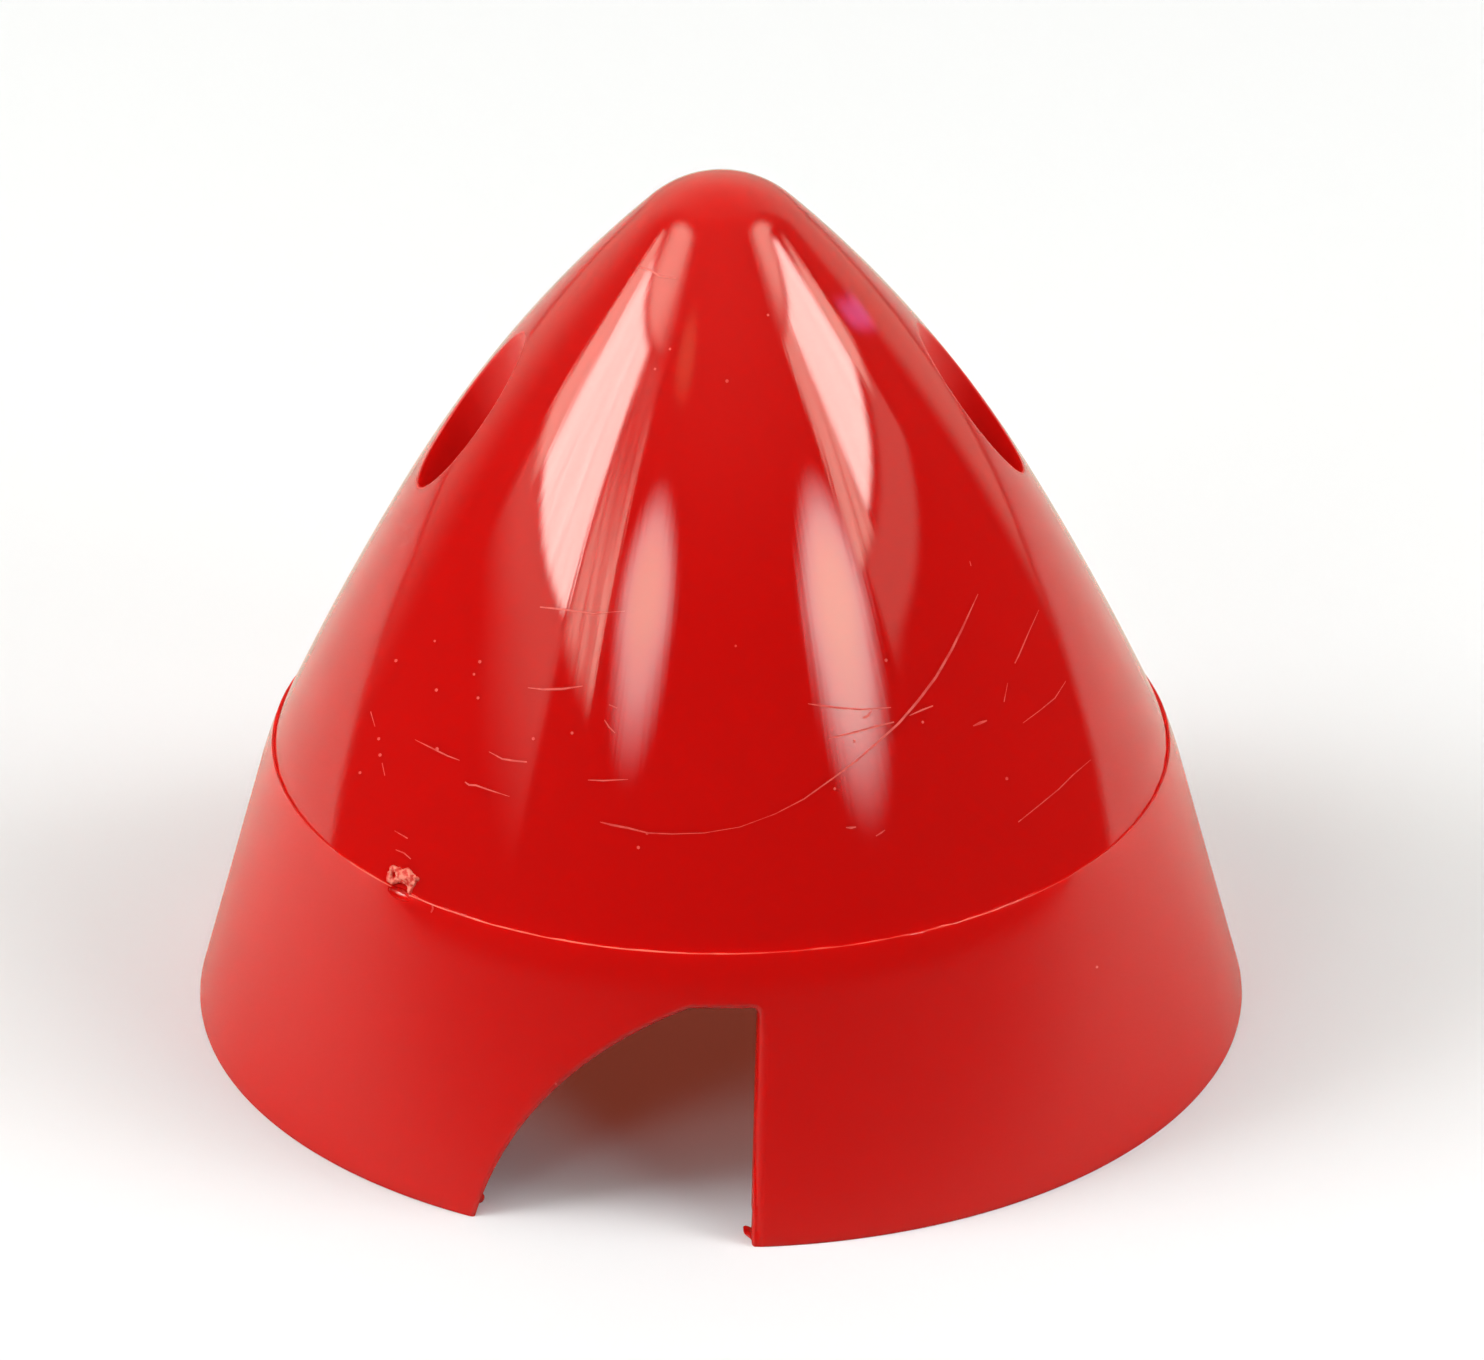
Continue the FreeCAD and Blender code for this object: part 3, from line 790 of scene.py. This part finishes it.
# %% Cutout measures, in millimetres
CUTOUT_TOP = 12.4
FLAT_END = 2.85
BROW_RADIUS = 0.8
CUTOUT_REACH = 14.33
ARC_RADIUS = 19.7
SIDE_OFFSET = 0.05
SIDE_LEAN = math.radians(2.3)
CORNER_RADIUS = 0.3
CUTOUT_ROUND = 0.42
SIDE_ROUND = 0.65
SIDE_BLEND = 1.5
EDGE_STEPS = 9
BELOW_RIM = -1.5
FAR_OUT, FAR_IN = -40.0, -15.0
ARC_STEPS, BROW_STEPS, TOP_STEPS, CORNER_STEPS, SIDE_STEPS, FOOT_STEPS = 70, 8, 14, 10, 30, 24

brow_centre = Vector((-FLAT_END, 0, CUTOUT_TOP - BROW_RADIUS))
arc_foot = Vector((-CUTOUT_REACH, 0, 0))
to_foot = arc_foot - brow_centre
to_brow = ARC_RADIUS - BROW_RADIUS
down = (to_brow ** 2 - ARC_RADIUS ** 2 + to_foot.length_squared) / (2 * to_foot.length)
aside = math.sqrt(to_brow ** 2 - down ** 2)
arc_centre = brow_centre + (to_foot * down + Vector((-to_foot.z, 0, to_foot.x)) * aside
                            ) / to_foot.length
brow_angle = math.atan2(brow_centre.z - arc_centre.z, brow_centre.x - arc_centre.x)
side_climb = Vector((math.sin(SIDE_LEAN), 0, math.cos(SIDE_LEAN)))
side_out = Vector((math.cos(SIDE_LEAN), 0, -math.sin(SIDE_LEAN)))
side_foot = Vector((SIDE_OFFSET, 0, 0))
corner_z = CUTOUT_TOP - CORNER_RADIUS
corner_x = side_foot.x + (corner_z + CORNER_RADIUS * side_out.z) * math.tan(SIDE_LEAN)
corner_centre = Vector((corner_x - CORNER_RADIUS * side_out.x, 0, corner_z))
print("the long arc's centre is", round(arc_centre.x, 2), round(arc_centre.z, 2))


# %% [markdown]
# The straight side has a wider round than the rest. Each vertex on it is moved out and laid
# deeper by its share of the difference, which grows from nothing at the corner.

# %% Rings of a cutout
def side_share(point):
    """0 on the curved side and the flat top, rising to 1 a little way down the straight side."""
    down = (corner_centre.z - point.z) / SIDE_BLEND
    return max(0.0, min(1.0, down)) if point.x > corner_centre.x else 0.0


def cutout_ring(form, out, depth_of):
    """A ring of the cutout's outline, grown by `out`, with its depth given for each vertex."""
    before = set(form.verts)
    low_angle = math.pi - math.asin((BELOW_RIM - arc_centre.z) / (ARC_RADIUS + out))
    spoke = Vector((math.cos(low_angle), 0, math.sin(low_angle))) * (ARC_RADIUS + out)
    first = form.verts.new(arc_centre + spoke)
    pen = draw_arc(form, first, arc_centre, brow_angle - low_angle, ARC_STEPS)
    pen = draw_arc(form, pen, brow_centre, math.pi / 2 - brow_angle, BROW_STEPS)
    pen = draw_line(form, pen, (corner_centre.x, 0, CUTOUT_TOP + out), TOP_STEPS)
    pen = draw_arc(form, pen, corner_centre, -math.pi / 2 - SIDE_LEAN, CORNER_STEPS)
    side_end = side_foot + side_out * out
    side_end += side_climb * ((BELOW_RIM - side_end.z) / side_climb.z)
    pen = draw_line(form, pen, side_end, SIDE_STEPS)
    pen = draw_line(form, pen, first.co.lerp(pen.co, 1 / FOOT_STEPS), FOOT_STEPS - 1)
    form.edges.new((pen, first))
    ring = [vertex for vertex in form.verts if vertex not in before]
    for vertex in ring:
        vertex.co += side_out * (out * (SIDE_ROUND / CUTOUT_ROUND - 1) * side_share(vertex.co))
        vertex.co.y = depth_of(vertex.co)
    return ring


def on_band(depth):
    """The place of a point under the band's surface, looking along Y."""
    def place(point):
        below = depth * (1 + (SIDE_ROUND / CUTOUT_ROUND - 1) * side_share(point))
        return -math.sqrt((band_radius(point.z) - below) ** 2 - point.x ** 2)
    return place


# %% Blade cutouts
def cutout_tool():
    """Both cutouts' tools in one: the front one, and the same turned by half a turn."""
    form = bmesh.new()
    edge = round_rings(CUTOUT_ROUND, EDGE_STEPS)
    rings = [cutout_ring(form, edge[0][0], lambda point: FAR_OUT)]
    rings += [cutout_ring(form, out, on_band(deep)) for out, deep in edge]
    rings.append(cutout_ring(form, 0.0, lambda point: FAR_IN))
    bridge_rings(form, rings)
    bmesh.ops.spin(form, geom=form.verts[:] + form.edges[:] + form.faces[:], cent=(0, 0, 0),
                   axis=UP, angle=math.pi, steps=1, use_duplicate=True)
    return as_object("cutout_tool", form, plastic)


# %% [markdown]
# The gate, where the plastic came in, was torn off at the parting line. The tear left a shallow
# hollow in the band's edge, and above it a lump, which is added as a piece of its own later on.

# %% Hollow under the gate
GATE_AZIMUTH = math.radians(-47.4)
HOLLOW_HEIGHT = 15.15
HOLLOW_REACH = (0.88, 0.36, 0.3)


def hollow_tool():
    outward = direction(GATE_AZIMUTH, 0)
    turn = Matrix((outward.cross(UP), outward, UP)).transposed().to_4x4()
    centre = outward * shoulder_top.x + UP * HOLLOW_HEIGHT
    form = bmesh.new()
    bmesh.ops.create_icosphere(form, subdivisions=4, radius=1, matrix=(
        Matrix.Translation(centre) @ turn @ Matrix.Diagonal((*HOLLOW_REACH, 1))))
    return as_object("hollow_tool", form, plastic)


# %% The cut
tools = [mould_core, cutout_tool(), hollow_tool()]
for x in (-SCREW_X, SCREW_X):
    tools += [recess_tool(x), screw_hole_tool(x)]
cut(shell, tools)


# %% [markdown]
# A cut leaves some points closer together than anyone could see, and they would spoil the
# shading, so they are merged. Then the shell is scaled to metres. It is shaded smooth, apart
# from edges that turn by more than the finest facets do. A copy of the skin is kept as a tree
# of faces, to find places on it later.

# %% Smooth shading with crisp edges
SHARP_FROM = math.radians(10.5)
TOO_CLOSE = 5e-4

clean = bmesh.new()
clean.from_mesh(shell.data)
bmesh.ops.remove_doubles(clean, verts=clean.verts[:], dist=TOO_CLOSE)
bmesh.ops.dissolve_degenerate(clean, edges=clean.edges[:], dist=TOO_CLOSE)
bmesh.ops.scale(clean, vec=(MM, MM, MM), verts=clean.verts[:])
skin = BVHTree.FromBMesh(clean)
clean.to_mesh(shell.data)
clean.free()
for polygon in shell.data.polygons:
    polygon.use_smooth = True
shell.data.set_sharp_from_angle(angle=SHARP_FROM)
print("shell", len(shell.data.polygons), "faces,", open_edges(shell), "open edges, materials",
      [material.name for material in shell.data.materials])

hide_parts("spinner_cap")
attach(shell, "root")


# %% [markdown]
# ## Small marks
#
# The marks of making and use are small, and each has its own place. They could be placed by
# angle and height, but they were found in the photograph. So a ray from the camera runs through
# the mark's place in the photograph, and where it meets the skin is the mark's place on the cap.

# %% Places on the skin
PIXEL = CAMERA_DISTANCE / MM / FOCAL_PIXELS
camera_turn = camera.rotation_euler.to_matrix()


def on_skin(x, y):
    """The place, in millimetres, and the outward direction of the skin at a place in the photo."""
    across, up = (x - AXIS_PIXEL) / FOCAL_PIXELS, (PHOTO_HEIGHT / 2 - y) / FOCAL_PIXELS
    place, outward, _, _ = skin.ray_cast(camera.location, camera_turn @ Vector((across, up, -1)))
    return place / MM, outward


def local_frame(x, y):
    """A matrix at a place in the photo: X across the cap, Y up its slope and Z outward."""
    place, outward = on_skin(x, y)
    across = UP.cross(outward).normalized()
    turn = Matrix((across, outward.cross(across), outward)).transposed().to_4x4()
    return Matrix.Translation(place) @ turn


print("one pixel is", round(PIXEL, 4), "mm on the cap")


# %% [markdown]
# Every small piece is drawn in millimetres, roughened by noise where it was torn, and then
# scaled to metres. It belongs to the one body and to the one plastic.

# %% Helpers for the small pieces
def roughen(form, length, amount):
    """Moves vertices along their normals by noise of this length."""
    form.normal_update()
    moves = [vertex.normal * noise.noise(vertex.co / length) * amount for vertex in form.verts]
    for vertex, move in zip(form.verts, moves):
        vertex.co += move


def to_metres(form):
    bmesh.ops.scale(form, vec=(MM, MM, MM), verts=form.verts[:])
    bmesh.ops.recalc_face_normals(form, faces=form.faces[:])


def add_piece(name, form, material):
    to_metres(form)
    piece = as_object(name, form, material)
    for polygon in piece.data.polygons:
        polygon.use_smooth = True
    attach(piece, "root")
    print(name, len(piece.data.polygons), "faces")


# %% [markdown]
# What is left of the gate is a curl, a blob and a pointed tear, grown into one lump. A union of
# the three would keep hard creases between them. A voxel remesh flows them together instead, as
# soft plastic does, and noise roughens the result in two sizes. Stretched plastic turns pale, so
# the lump gets a paler material.

# %% Torn gate
CURL_PIXEL, BLOB_PIXEL, TEAR_PIXEL = (395.5, 875.0), (407.5, 877.0), (411.5, 884.5)
CURL_RADIUS, CURL_THICKNESS, CURL_LIFT = 0.34, 0.165, 0.06
BLOB_REACH = (0.6, 0.46, 0.26)
TEAR_TIP, TEAR_FOOT, TEAR_LENGTH, TEAR_FLATNESS = 0.1, 0.42, 1.0, 0.6
VOXEL = 0.045
TORN_NOISE = ((0.3, 0.1), (0.12, 0.05))    # length and amount

pale, pale_shader = material_shader("torn_pale_red")

lump = bmesh.new()
bmesh.ops.create_circle(lump, segments=16, radius=CURL_THICKNESS, matrix=(
    Matrix.Translation((CURL_RADIUS, 0, CURL_LIFT)) @ Matrix.Rotation(math.pi / 2, 4, "X")))
bmesh.ops.spin(lump, geom=lump.verts[:] + lump.edges[:], cent=(0, 0, 0), axis=UP,
               angle=2 * math.pi, steps=40, use_merge=True)
bmesh.ops.remove_doubles(lump, verts=lump.verts[:], dist=SAME_PLACE)
bmesh.ops.transform(lump, matrix=local_frame(*CURL_PIXEL), verts=lump.verts[:])
bmesh.ops.create_icosphere(lump, subdivisions=3, radius=1, matrix=(
    local_frame(*BLOB_PIXEL) @ Matrix.Diagonal((*BLOB_REACH, 1))))
bmesh.ops.create_cone(lump, cap_ends=True, segments=24, radius1=TEAR_TIP, radius2=TEAR_FOOT,
                      depth=TEAR_LENGTH, matrix=(
    local_frame(*TEAR_PIXEL) @ Matrix.Diagonal((1, 1, TEAR_FLATNESS, 1))
    @ Matrix.Rotation(-math.pi / 2, 4, "X")))
bmesh.ops.recalc_face_normals(lump, faces=lump.faces[:])


# %% The lump flows together
lump_draft = as_object("lump_draft", lump)
remesh = lump_draft.modifiers.new("flow", "REMESH")
remesh.mode = "VOXEL"
remesh.voxel_size = VOXEL
result = lump_draft.evaluated_get(bpy.context.evaluated_depsgraph_get())
gate = bmesh.new()
gate.from_mesh(result.to_mesh())
bpy.data.objects.remove(lump_draft)
for length, amount in TORN_NOISE:
    roughen(gate, length, amount)
add_piece("torn_gate", gate, pale)


# %% [markdown]
# At the feet of the cutout the mould leaked a little, and left two small tongues of flash. Each
# is a ball, drawn out and turned to lie as in the photograph, roughened, and flat on the floor.

# %% Flash at the cutout's feet
FEET = (    # centre, reach, and turn in degrees
    ((0.2, -27.4, 0.11), (0.34, 1.05, 0.11), 25),
    ((-14.1, -22.95, 0.3), (0.3, 0.34, 0.28), 0),
)
FLASH_NOISE = (0.4, 0.06)
OFF_FLOOR = 0.005

for number, (centre, reach, turn) in enumerate(FEET, 1):
    flash = bmesh.new()
    bmesh.ops.create_icosphere(flash, subdivisions=4, radius=1, matrix=(
        Matrix.Translation(centre) @ Matrix.Rotation(math.radians(turn), 4, "Z")
        @ Matrix.Diagonal((*reach, 1))))
    roughen(flash, *FLASH_NOISE)
    for vertex in flash.verts:
        vertex.co.z = max(vertex.co.z, OFF_FLOOR)
    add_piece("foot_flash_{}".format(number), flash, plastic)


# %% [markdown]
# A scratch is a groove too fine to cut, and what shows is its rough bed: light in the dark red,
# and dark where it crosses a reflection. So each one is a narrow rough strip that follows the
# skin along a line in the photograph. The strip gets a thickness and is sunk into the skin, so
# it is a closed form with its top a few thousandths of a millimetre proud. The third number of
# each point is the strip's width in pixels. Specks are short strips of the same kind.

# %% Where the scratches and specks are, in pixels
SCRATCHES = (
    ((978, 594, 0.5), (962, 629, 1.9), (951, 651, 2.1), (936, 677, 2.1), (918, 701, 2.1),
     (899, 723, 1.8), (883, 737.5, 1.7), (860, 758, 1.5), (836, 776, 1.2), (804, 799, 0.9),
     (775, 814, 0.7), (740, 827, 0.5), (704, 833, 0.6), (672, 834, 0.8), (648, 833, 1.0),
     (628, 828, 1.5), (612, 825, 1.7), (600, 822, 0.6)),
    ((808, 703.7, 0.5), (822, 706, 1.4), (840, 708, 1.6), (862, 709.5, 1.4), (891, 707.5, 0.7)),
    ((829, 738.3, 0.9), (850, 733.5, 1.6), (872, 727.5, 1.6), (894, 722, 1.1)),
    ((909.6, 715.5, 0.5), (922, 710, 1.4), (933, 705.8, 0.8)),
    ((862.7, 718.4, 1.6), (868, 716, 2.0), (871.5, 711, 1.2)),
    ((973, 726, 0.8), (980, 723, 2.4), (987, 720.5, 1.0)),
    ((540, 607, 1.0), (560, 609, 1.6), (593, 613.4, 0.8), (625, 611, 0.4)),
    ((527.9, 687.7, 0.6), (543, 689.4, 1.5), (562, 689, 1.6), (582.5, 686, 0.8)),
    ((609, 704.6, 0.8), (617, 708, 1.2)),
    ((604.5, 720, 0.7), (609, 727, 1.2), (615, 733, 0.7)),
    ((588, 780, 0.6), (603, 780.6, 1.2), (628, 779.4, 0.5)),
    ((489, 751.7, 0.4), (502, 758.8, 1.2), (512, 760.5, 1.5), (526.8, 762, 1.1)),
    ((415, 739.7, 0.4), (436.8, 750.6, 1.3), (448, 756, 1.1), (459.6, 760.3, 0.5)),
    ((465, 782, 0.9), (469, 785, 1.5), (476, 785.3, 1.4), (488, 789.6, 1.0), (509.5, 796.5, 0.4)),
    ((370.7, 711.6, 1.0), (375, 726.7, 0.5)),
    ((382.2, 763, 0.9), (384.8, 775.5, 0.7)),
    ((394.5, 830.8, 0.5), (407.6, 838.4, 1.0)),
    ((395.6, 849.7, 0.6), (404, 853, 1.1), (410.8, 859, 0.8)),
    ((1038.9, 609.8, 0.4), (1028, 634, 1.0), (1019, 655, 1.3), (1014.8, 663.4, 0.9)),
    ((1065.7, 681.3, 0.4), (1055, 698, 0.9), (1040.7, 709.8, 0.6), (1023, 723, 0.4)),
    ((1090.7, 759.8, 0.4), (1072.9, 775, 0.9), (1058.6, 789.3, 0.9), (1039, 805.4, 0.7),
     (1018.4, 822, 0.8)),
    ((1007.7, 683, 0.4), (1004, 701.8, 0.9)),
    ((969.7, 561, 0.6), (971, 566, 0.9)),
    ((638.4, 267, 0.5), (651, 270.5, 1.3), (659.5, 276.2, 1.3), (676.3, 278.3, 0.6)),
    ((432.5, 904.5, 1.6), (432.8, 909, 1.8), (431, 912.5, 1.4)),
    ((846, 827.5, 0.8), (851, 827.8, 1.8), (856, 827, 0.8)),
    ((876, 836, 0.7), (881, 833, 1.2), (885, 830, 0.6)),
)
SPECKS = ((572, 733), (735.7, 646), (638.3, 847.5), (647, 833.4), (834.8, 788.8), (922.8, 722.2),
          (886, 660.3), (854.5, 741.3), (434.7, 641), (474, 674.3), (479.8, 661.7), (436.4, 690),
          (478, 697.9), (378.7, 738.7), (380, 755), (360, 772.7), (533.3, 738.7), (396, 660.6),
          (437, 749), (1006.8, 778.6), (670, 349), (655, 369), (727, 381), (768, 315), (556, 1084),
          (1097, 967), (520, 352))
print(len(SCRATCHES), "scratches and", len(SPECKS), "specks")


# %% Laying a strip on the skin
STRIP_LIFT = 0.006
STRIP_DEPTH = 0.04
STEP_PIXELS = 2.5
HALF_WIDTH = 0.6    # a little over a half, because the strip's thin edges fade in the picture


def lay_strip(form, points):
    """A narrow strip on the skin, along points in the photo with a width in pixels at each."""
    path = []
    for (x0, y0, width0), (x1, y1, width1) in zip(points, points[1:]):
        steps = max(2, round(math.hypot(x1 - x0, y1 - y0) / STEP_PIXELS))
        for step in range(steps):
            share = step / steps
            path.append((*on_skin(x0 + (x1 - x0) * share, y0 + (y1 - y0) * share),
                         width0 + (width1 - width0) * share))
    x, y, width = points[-1]
    path.append((*on_skin(x, y), width))
    last = len(path) - 1
    strip = bmesh.ops.create_grid(form, x_segments=last, y_segments=1, size=1.0)["verts"]
    for vertex in strip:
        index = round((vertex.co.x + 1) / 2 * last)
        place, outward, width = path[index]
        ahead = path[min(index + 1, last)][0] - path[max(index - 1, 0)][0]
        aside = outward.cross(ahead).normalized() * (width * PIXEL * HALF_WIDTH)
        vertex.co = place + outward * STRIP_LIFT + aside * (1 if vertex.co.y > 0 else -1)


# %% Scratches and specks
SPECK_WIDTH = 2.2
SPECK_HALF = 0.6
SPECK_SPREAD = 7    # neighbours within about this many pixels get much the same size

scratched, scratched_shader = material_shader("scratched_red")
scratches = bmesh.new()
for points in SCRATCHES:
    lay_strip(scratches, points)
for x, y in SPECKS:
    size = SPECK_WIDTH + noise.noise(Vector((x, y, 0)) / SPECK_SPREAD)
    half = size * SPECK_HALF
    lay_strip(scratches, ((x - half, y, half), (x, y, 2 * half), (x + half, y, half)))
bmesh.ops.solidify(scratches, geom=scratches.faces[:], thickness=STRIP_DEPTH)
to_metres(scratches)
heights = []
for vertex in scratches.verts:
    place, outward, _, _ = skin.find_nearest(vertex.co)
    heights.append((vertex.co - place).dot(outward) / MM)
print("strips from", round(min(heights), 3), "to", round(max(heights), 3), "mm over the skin")
strips = as_object("scratches", scratches, scratched)
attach(strips, "root")
print("scratches", len(strips.data.polygons), "faces,", open_edges(strips), "open edges")


# %% [markdown]
# ## The plastic
#
# It is one red plastic throughout. The mould was polished over the cone and left satin on the
# band, so it is mostly the roughness that changes at the parting line. Fine lines run up the
# cone where the mould was polished, and they break up the reflections. The wall is thin and lets
# some light in, so part of the colour comes from under the surface. BURLEY is the quickest way
# to work that out, and looks much the same here.

# %% The plastic's values
RED = (0.575, 0.0035, 0.003, 1)
BAND_RED = (0.64, 0.0042, 0.0035, 1)
PLASTIC_IOR = 1.59
SOFT_WEIGHT = 0.6
SOFT_REACH = (1.2, 0.3, 0.2)


def finish_red(shader, inputs):
    """Ends a material as red plastic that light soaks into, with these inputs besides."""
    soft = {"IOR": PLASTIC_IOR, "Subsurface Weight": SOFT_WEIGHT, "Subsurface Radius": SOFT_REACH,
            "Subsurface Scale": MM}
    shader.finish(shader.add("ShaderNodeBsdfPrincipled", {"subsurface_method": "BURLEY"},
                             {**soft, **inputs}))


def on_object(shader):
    """Object coordinates, so that a pattern stays on the piece."""
    return shader.add("ShaderNodeTexCoord", output="Object")


# %% [markdown]
# All patterns of the outer skin come from one place in millimetres. The polish is noise that
# changes round the cap and not up it, so it makes lines. The grain is fine noise for the satin,
# and a broad noise keeps the gloss from being too even.

# %% Patterns on the skin
POLISH_LINES = (55, 55, 0)
GRAIN_SCALE, BROAD_SCALE = 9.0, 0.35

shader = plastic_shader
in_mm = shader.add("ShaderNodeVectorMath", {"operation": "SCALE"},
                   {0: on_object(shader), "Scale": 1 / MM})
x, y, z = axes(shader, in_mm)
level = shader.add("ShaderNodeCombineXYZ", None, {"X": x, "Y": y})
round_the_cap = shader.add("ShaderNodeVectorMath", {"operation": "NORMALIZE"}, {0: level})
lines_at = shader.add("ShaderNodeVectorMath", {"operation": "MULTIPLY_ADD"},
                      {0: round_the_cap, 1: POLISH_LINES, 2: (0, 0, 0)})
polish = shader.add("ShaderNodeTexNoise", {"noise_dimensions": "3D"},
                    {"Vector": lines_at, "Scale": 1.0, "Detail": 4.0, "Roughness": 0.6})
grain = shader.add("ShaderNodeTexNoise", None, {"Vector": in_mm, "Scale": GRAIN_SCALE, "Detail": 3.0})
broad = shader.add("ShaderNodeTexNoise", None, {"Vector": in_mm, "Scale": BROAD_SCALE, "Detail": 2.0})


# %% [markdown]
# The thread of flash catches the light only on the front, and more on the left, so a painted
# highlight makes it a paler red there, uneven along its length. Just under the line the photograph
# shows a darker strip. It is taken here as satin that is worn smoother; the true cause isn't known.

# %% Red plastic
# the red of the painted highlight along the flash
FLASH_HIGHLIGHT_RED = (0.95, 0.19, 0.15, 1)
GLOSS_ROUGHNESS, SATIN_ROUGHNESS, WORN_ROUGHNESS = 0.04, 0.22, 0.1
LEAST_ROUGHNESS = 0.02
HIGHLIGHT_FRONT = (-20, 18, 5)
WORN_DEPTH, WORN_SOFT = 1.6, 1.2

on_cone = z.ramp(SEAM_HEIGHT - 0.02, SEAM_HEIGHT + 0.06)
on_satin = 1 - on_cone
from_axis = (x * x + y * y) ** 0.5
ridge = within(z, SEAM_HEIGHT + 0.02, SEAM_HEIGHT + 0.3, 0.02)
ridge = ridge * from_axis.ramp(cone_foot.x + 0.02, cone_foot.x + 0.05)
# painted highlight on the flash: paler red only on the front, more on the left, uneven along its
# length
flash_highlight = (broad.ramp(0.4, 0.55) * 0.6 + 0.4) * (x.fall(-3, 1) * 0.6 + 0.4)
flash_highlight = flash_highlight * within(x, *HIGHLIGHT_FRONT)
worn = within(z, SEAM_HEIGHT - WORN_DEPTH, SEAM_HEIGHT + 1, WORN_SOFT) * on_satin
roughness = (on_cone * (GLOSS_ROUGHNESS - SATIN_ROUGHNESS) + SATIN_ROUGHNESS
             + worn * (WORN_ROUGHNESS - SATIN_ROUGHNESS)
             + (broad - 0.5) * 0.03 + (grain - 0.5) * on_satin * 0.12)
relief = (polish - 0.5) * on_cone * 0.3 + (grain - 0.5) * on_satin * 0.5
bumped = shader.add("ShaderNodeBump", None, {"Height": relief, "Distance": 0.01 * MM, "Strength": 1.0})
colour = mixed(shader, ridge * flash_highlight, mixed(shader, on_cone, BAND_RED, RED), FLASH_HIGHLIGHT_RED)
finish_red(shader, {"Base Color": colour, "Roughness": roughness.most(LEAST_ROUGHNESS),
                    "Normal": bumped})
print(plastic.name, len(shader.tree.nodes), "nodes")


# %% [markdown]
# The inside was never polished. Light that has soaked through the cone glows in the recesses.
# This glow is as weak as the floor's, and isn't sampled as a lamp either.

# %% Moulded inside
BLACK = (0, 0, 0, 1)
GLOWING = (0.11, 0.002, 0.0015, 1)
GLOW_FROM, GLOW_FULL = 18 * MM, 30 * MM

shader = moulded_shader
place = on_object(shader)
_, _, height = axes(shader, place)
rough_noise = shader.add("ShaderNodeTexNoise", None, {"Vector": place, "Scale": 900.0, "Detail": 3.0})
finish_red(shader, {"Base Color": RED, "Roughness": rough_noise * 0.2 + 0.3,
                    "Emission Color": mixed(shader, height.ramp(GLOW_FROM, GLOW_FULL), BLACK, GLOWING),
                    "Emission Strength": 1.0})
moulded.cycles.emission_sampling = "NONE"
print(moulded.name, len(shader.tree.nodes), "nodes")


# %% [markdown]
# Torn plastic is pale and uneven, and the bed of a scratch is rough and a little paler.

# %% Torn and scratched red
TORN_DEEP, TORN_PALE = (0.74, 0.04, 0.03, 1), (0.87, 0.25, 0.20, 1)
BED_DEEP, BED_PALE = (0.68, 0.02, 0.015, 1), (0.78, 0.075, 0.06, 1)
TORN_IOR = 1.45

shader = pale_shader
torn_noise = shader.add("ShaderNodeTexNoise", None,
                        {"Vector": on_object(shader), "Scale": 3500.0, "Detail": 3.0})
torn_relief = shader.add("ShaderNodeBump", None, {"Height": torn_noise, "Distance": 0.03 * MM})
shader.finish(shader.add("ShaderNodeBsdfPrincipled", None, {
    "Base Color": mixed(shader, torn_noise.ramp(0.4, 0.6), TORN_DEEP, TORN_PALE),
    "Roughness": torn_noise * 0.3 + 0.4, "IOR": TORN_IOR, "Normal": torn_relief}))

shader = scratched_shader
breaks = shader.add("ShaderNodeTexNoise", None,
                    {"Vector": on_object(shader), "Scale": 1500.0, "Detail": 2.0})
shader.finish(shader.add("ShaderNodeBsdfPrincipled", None, {
    "Base Color": mixed(shader, breaks.ramp(0.35, 0.6), BED_DEEP, BED_PALE),
    "Roughness": breaks * 0.3 + 0.25, "IOR": PLASTIC_IOR}))
print(pale.name, "and", scratched.name, "are made")
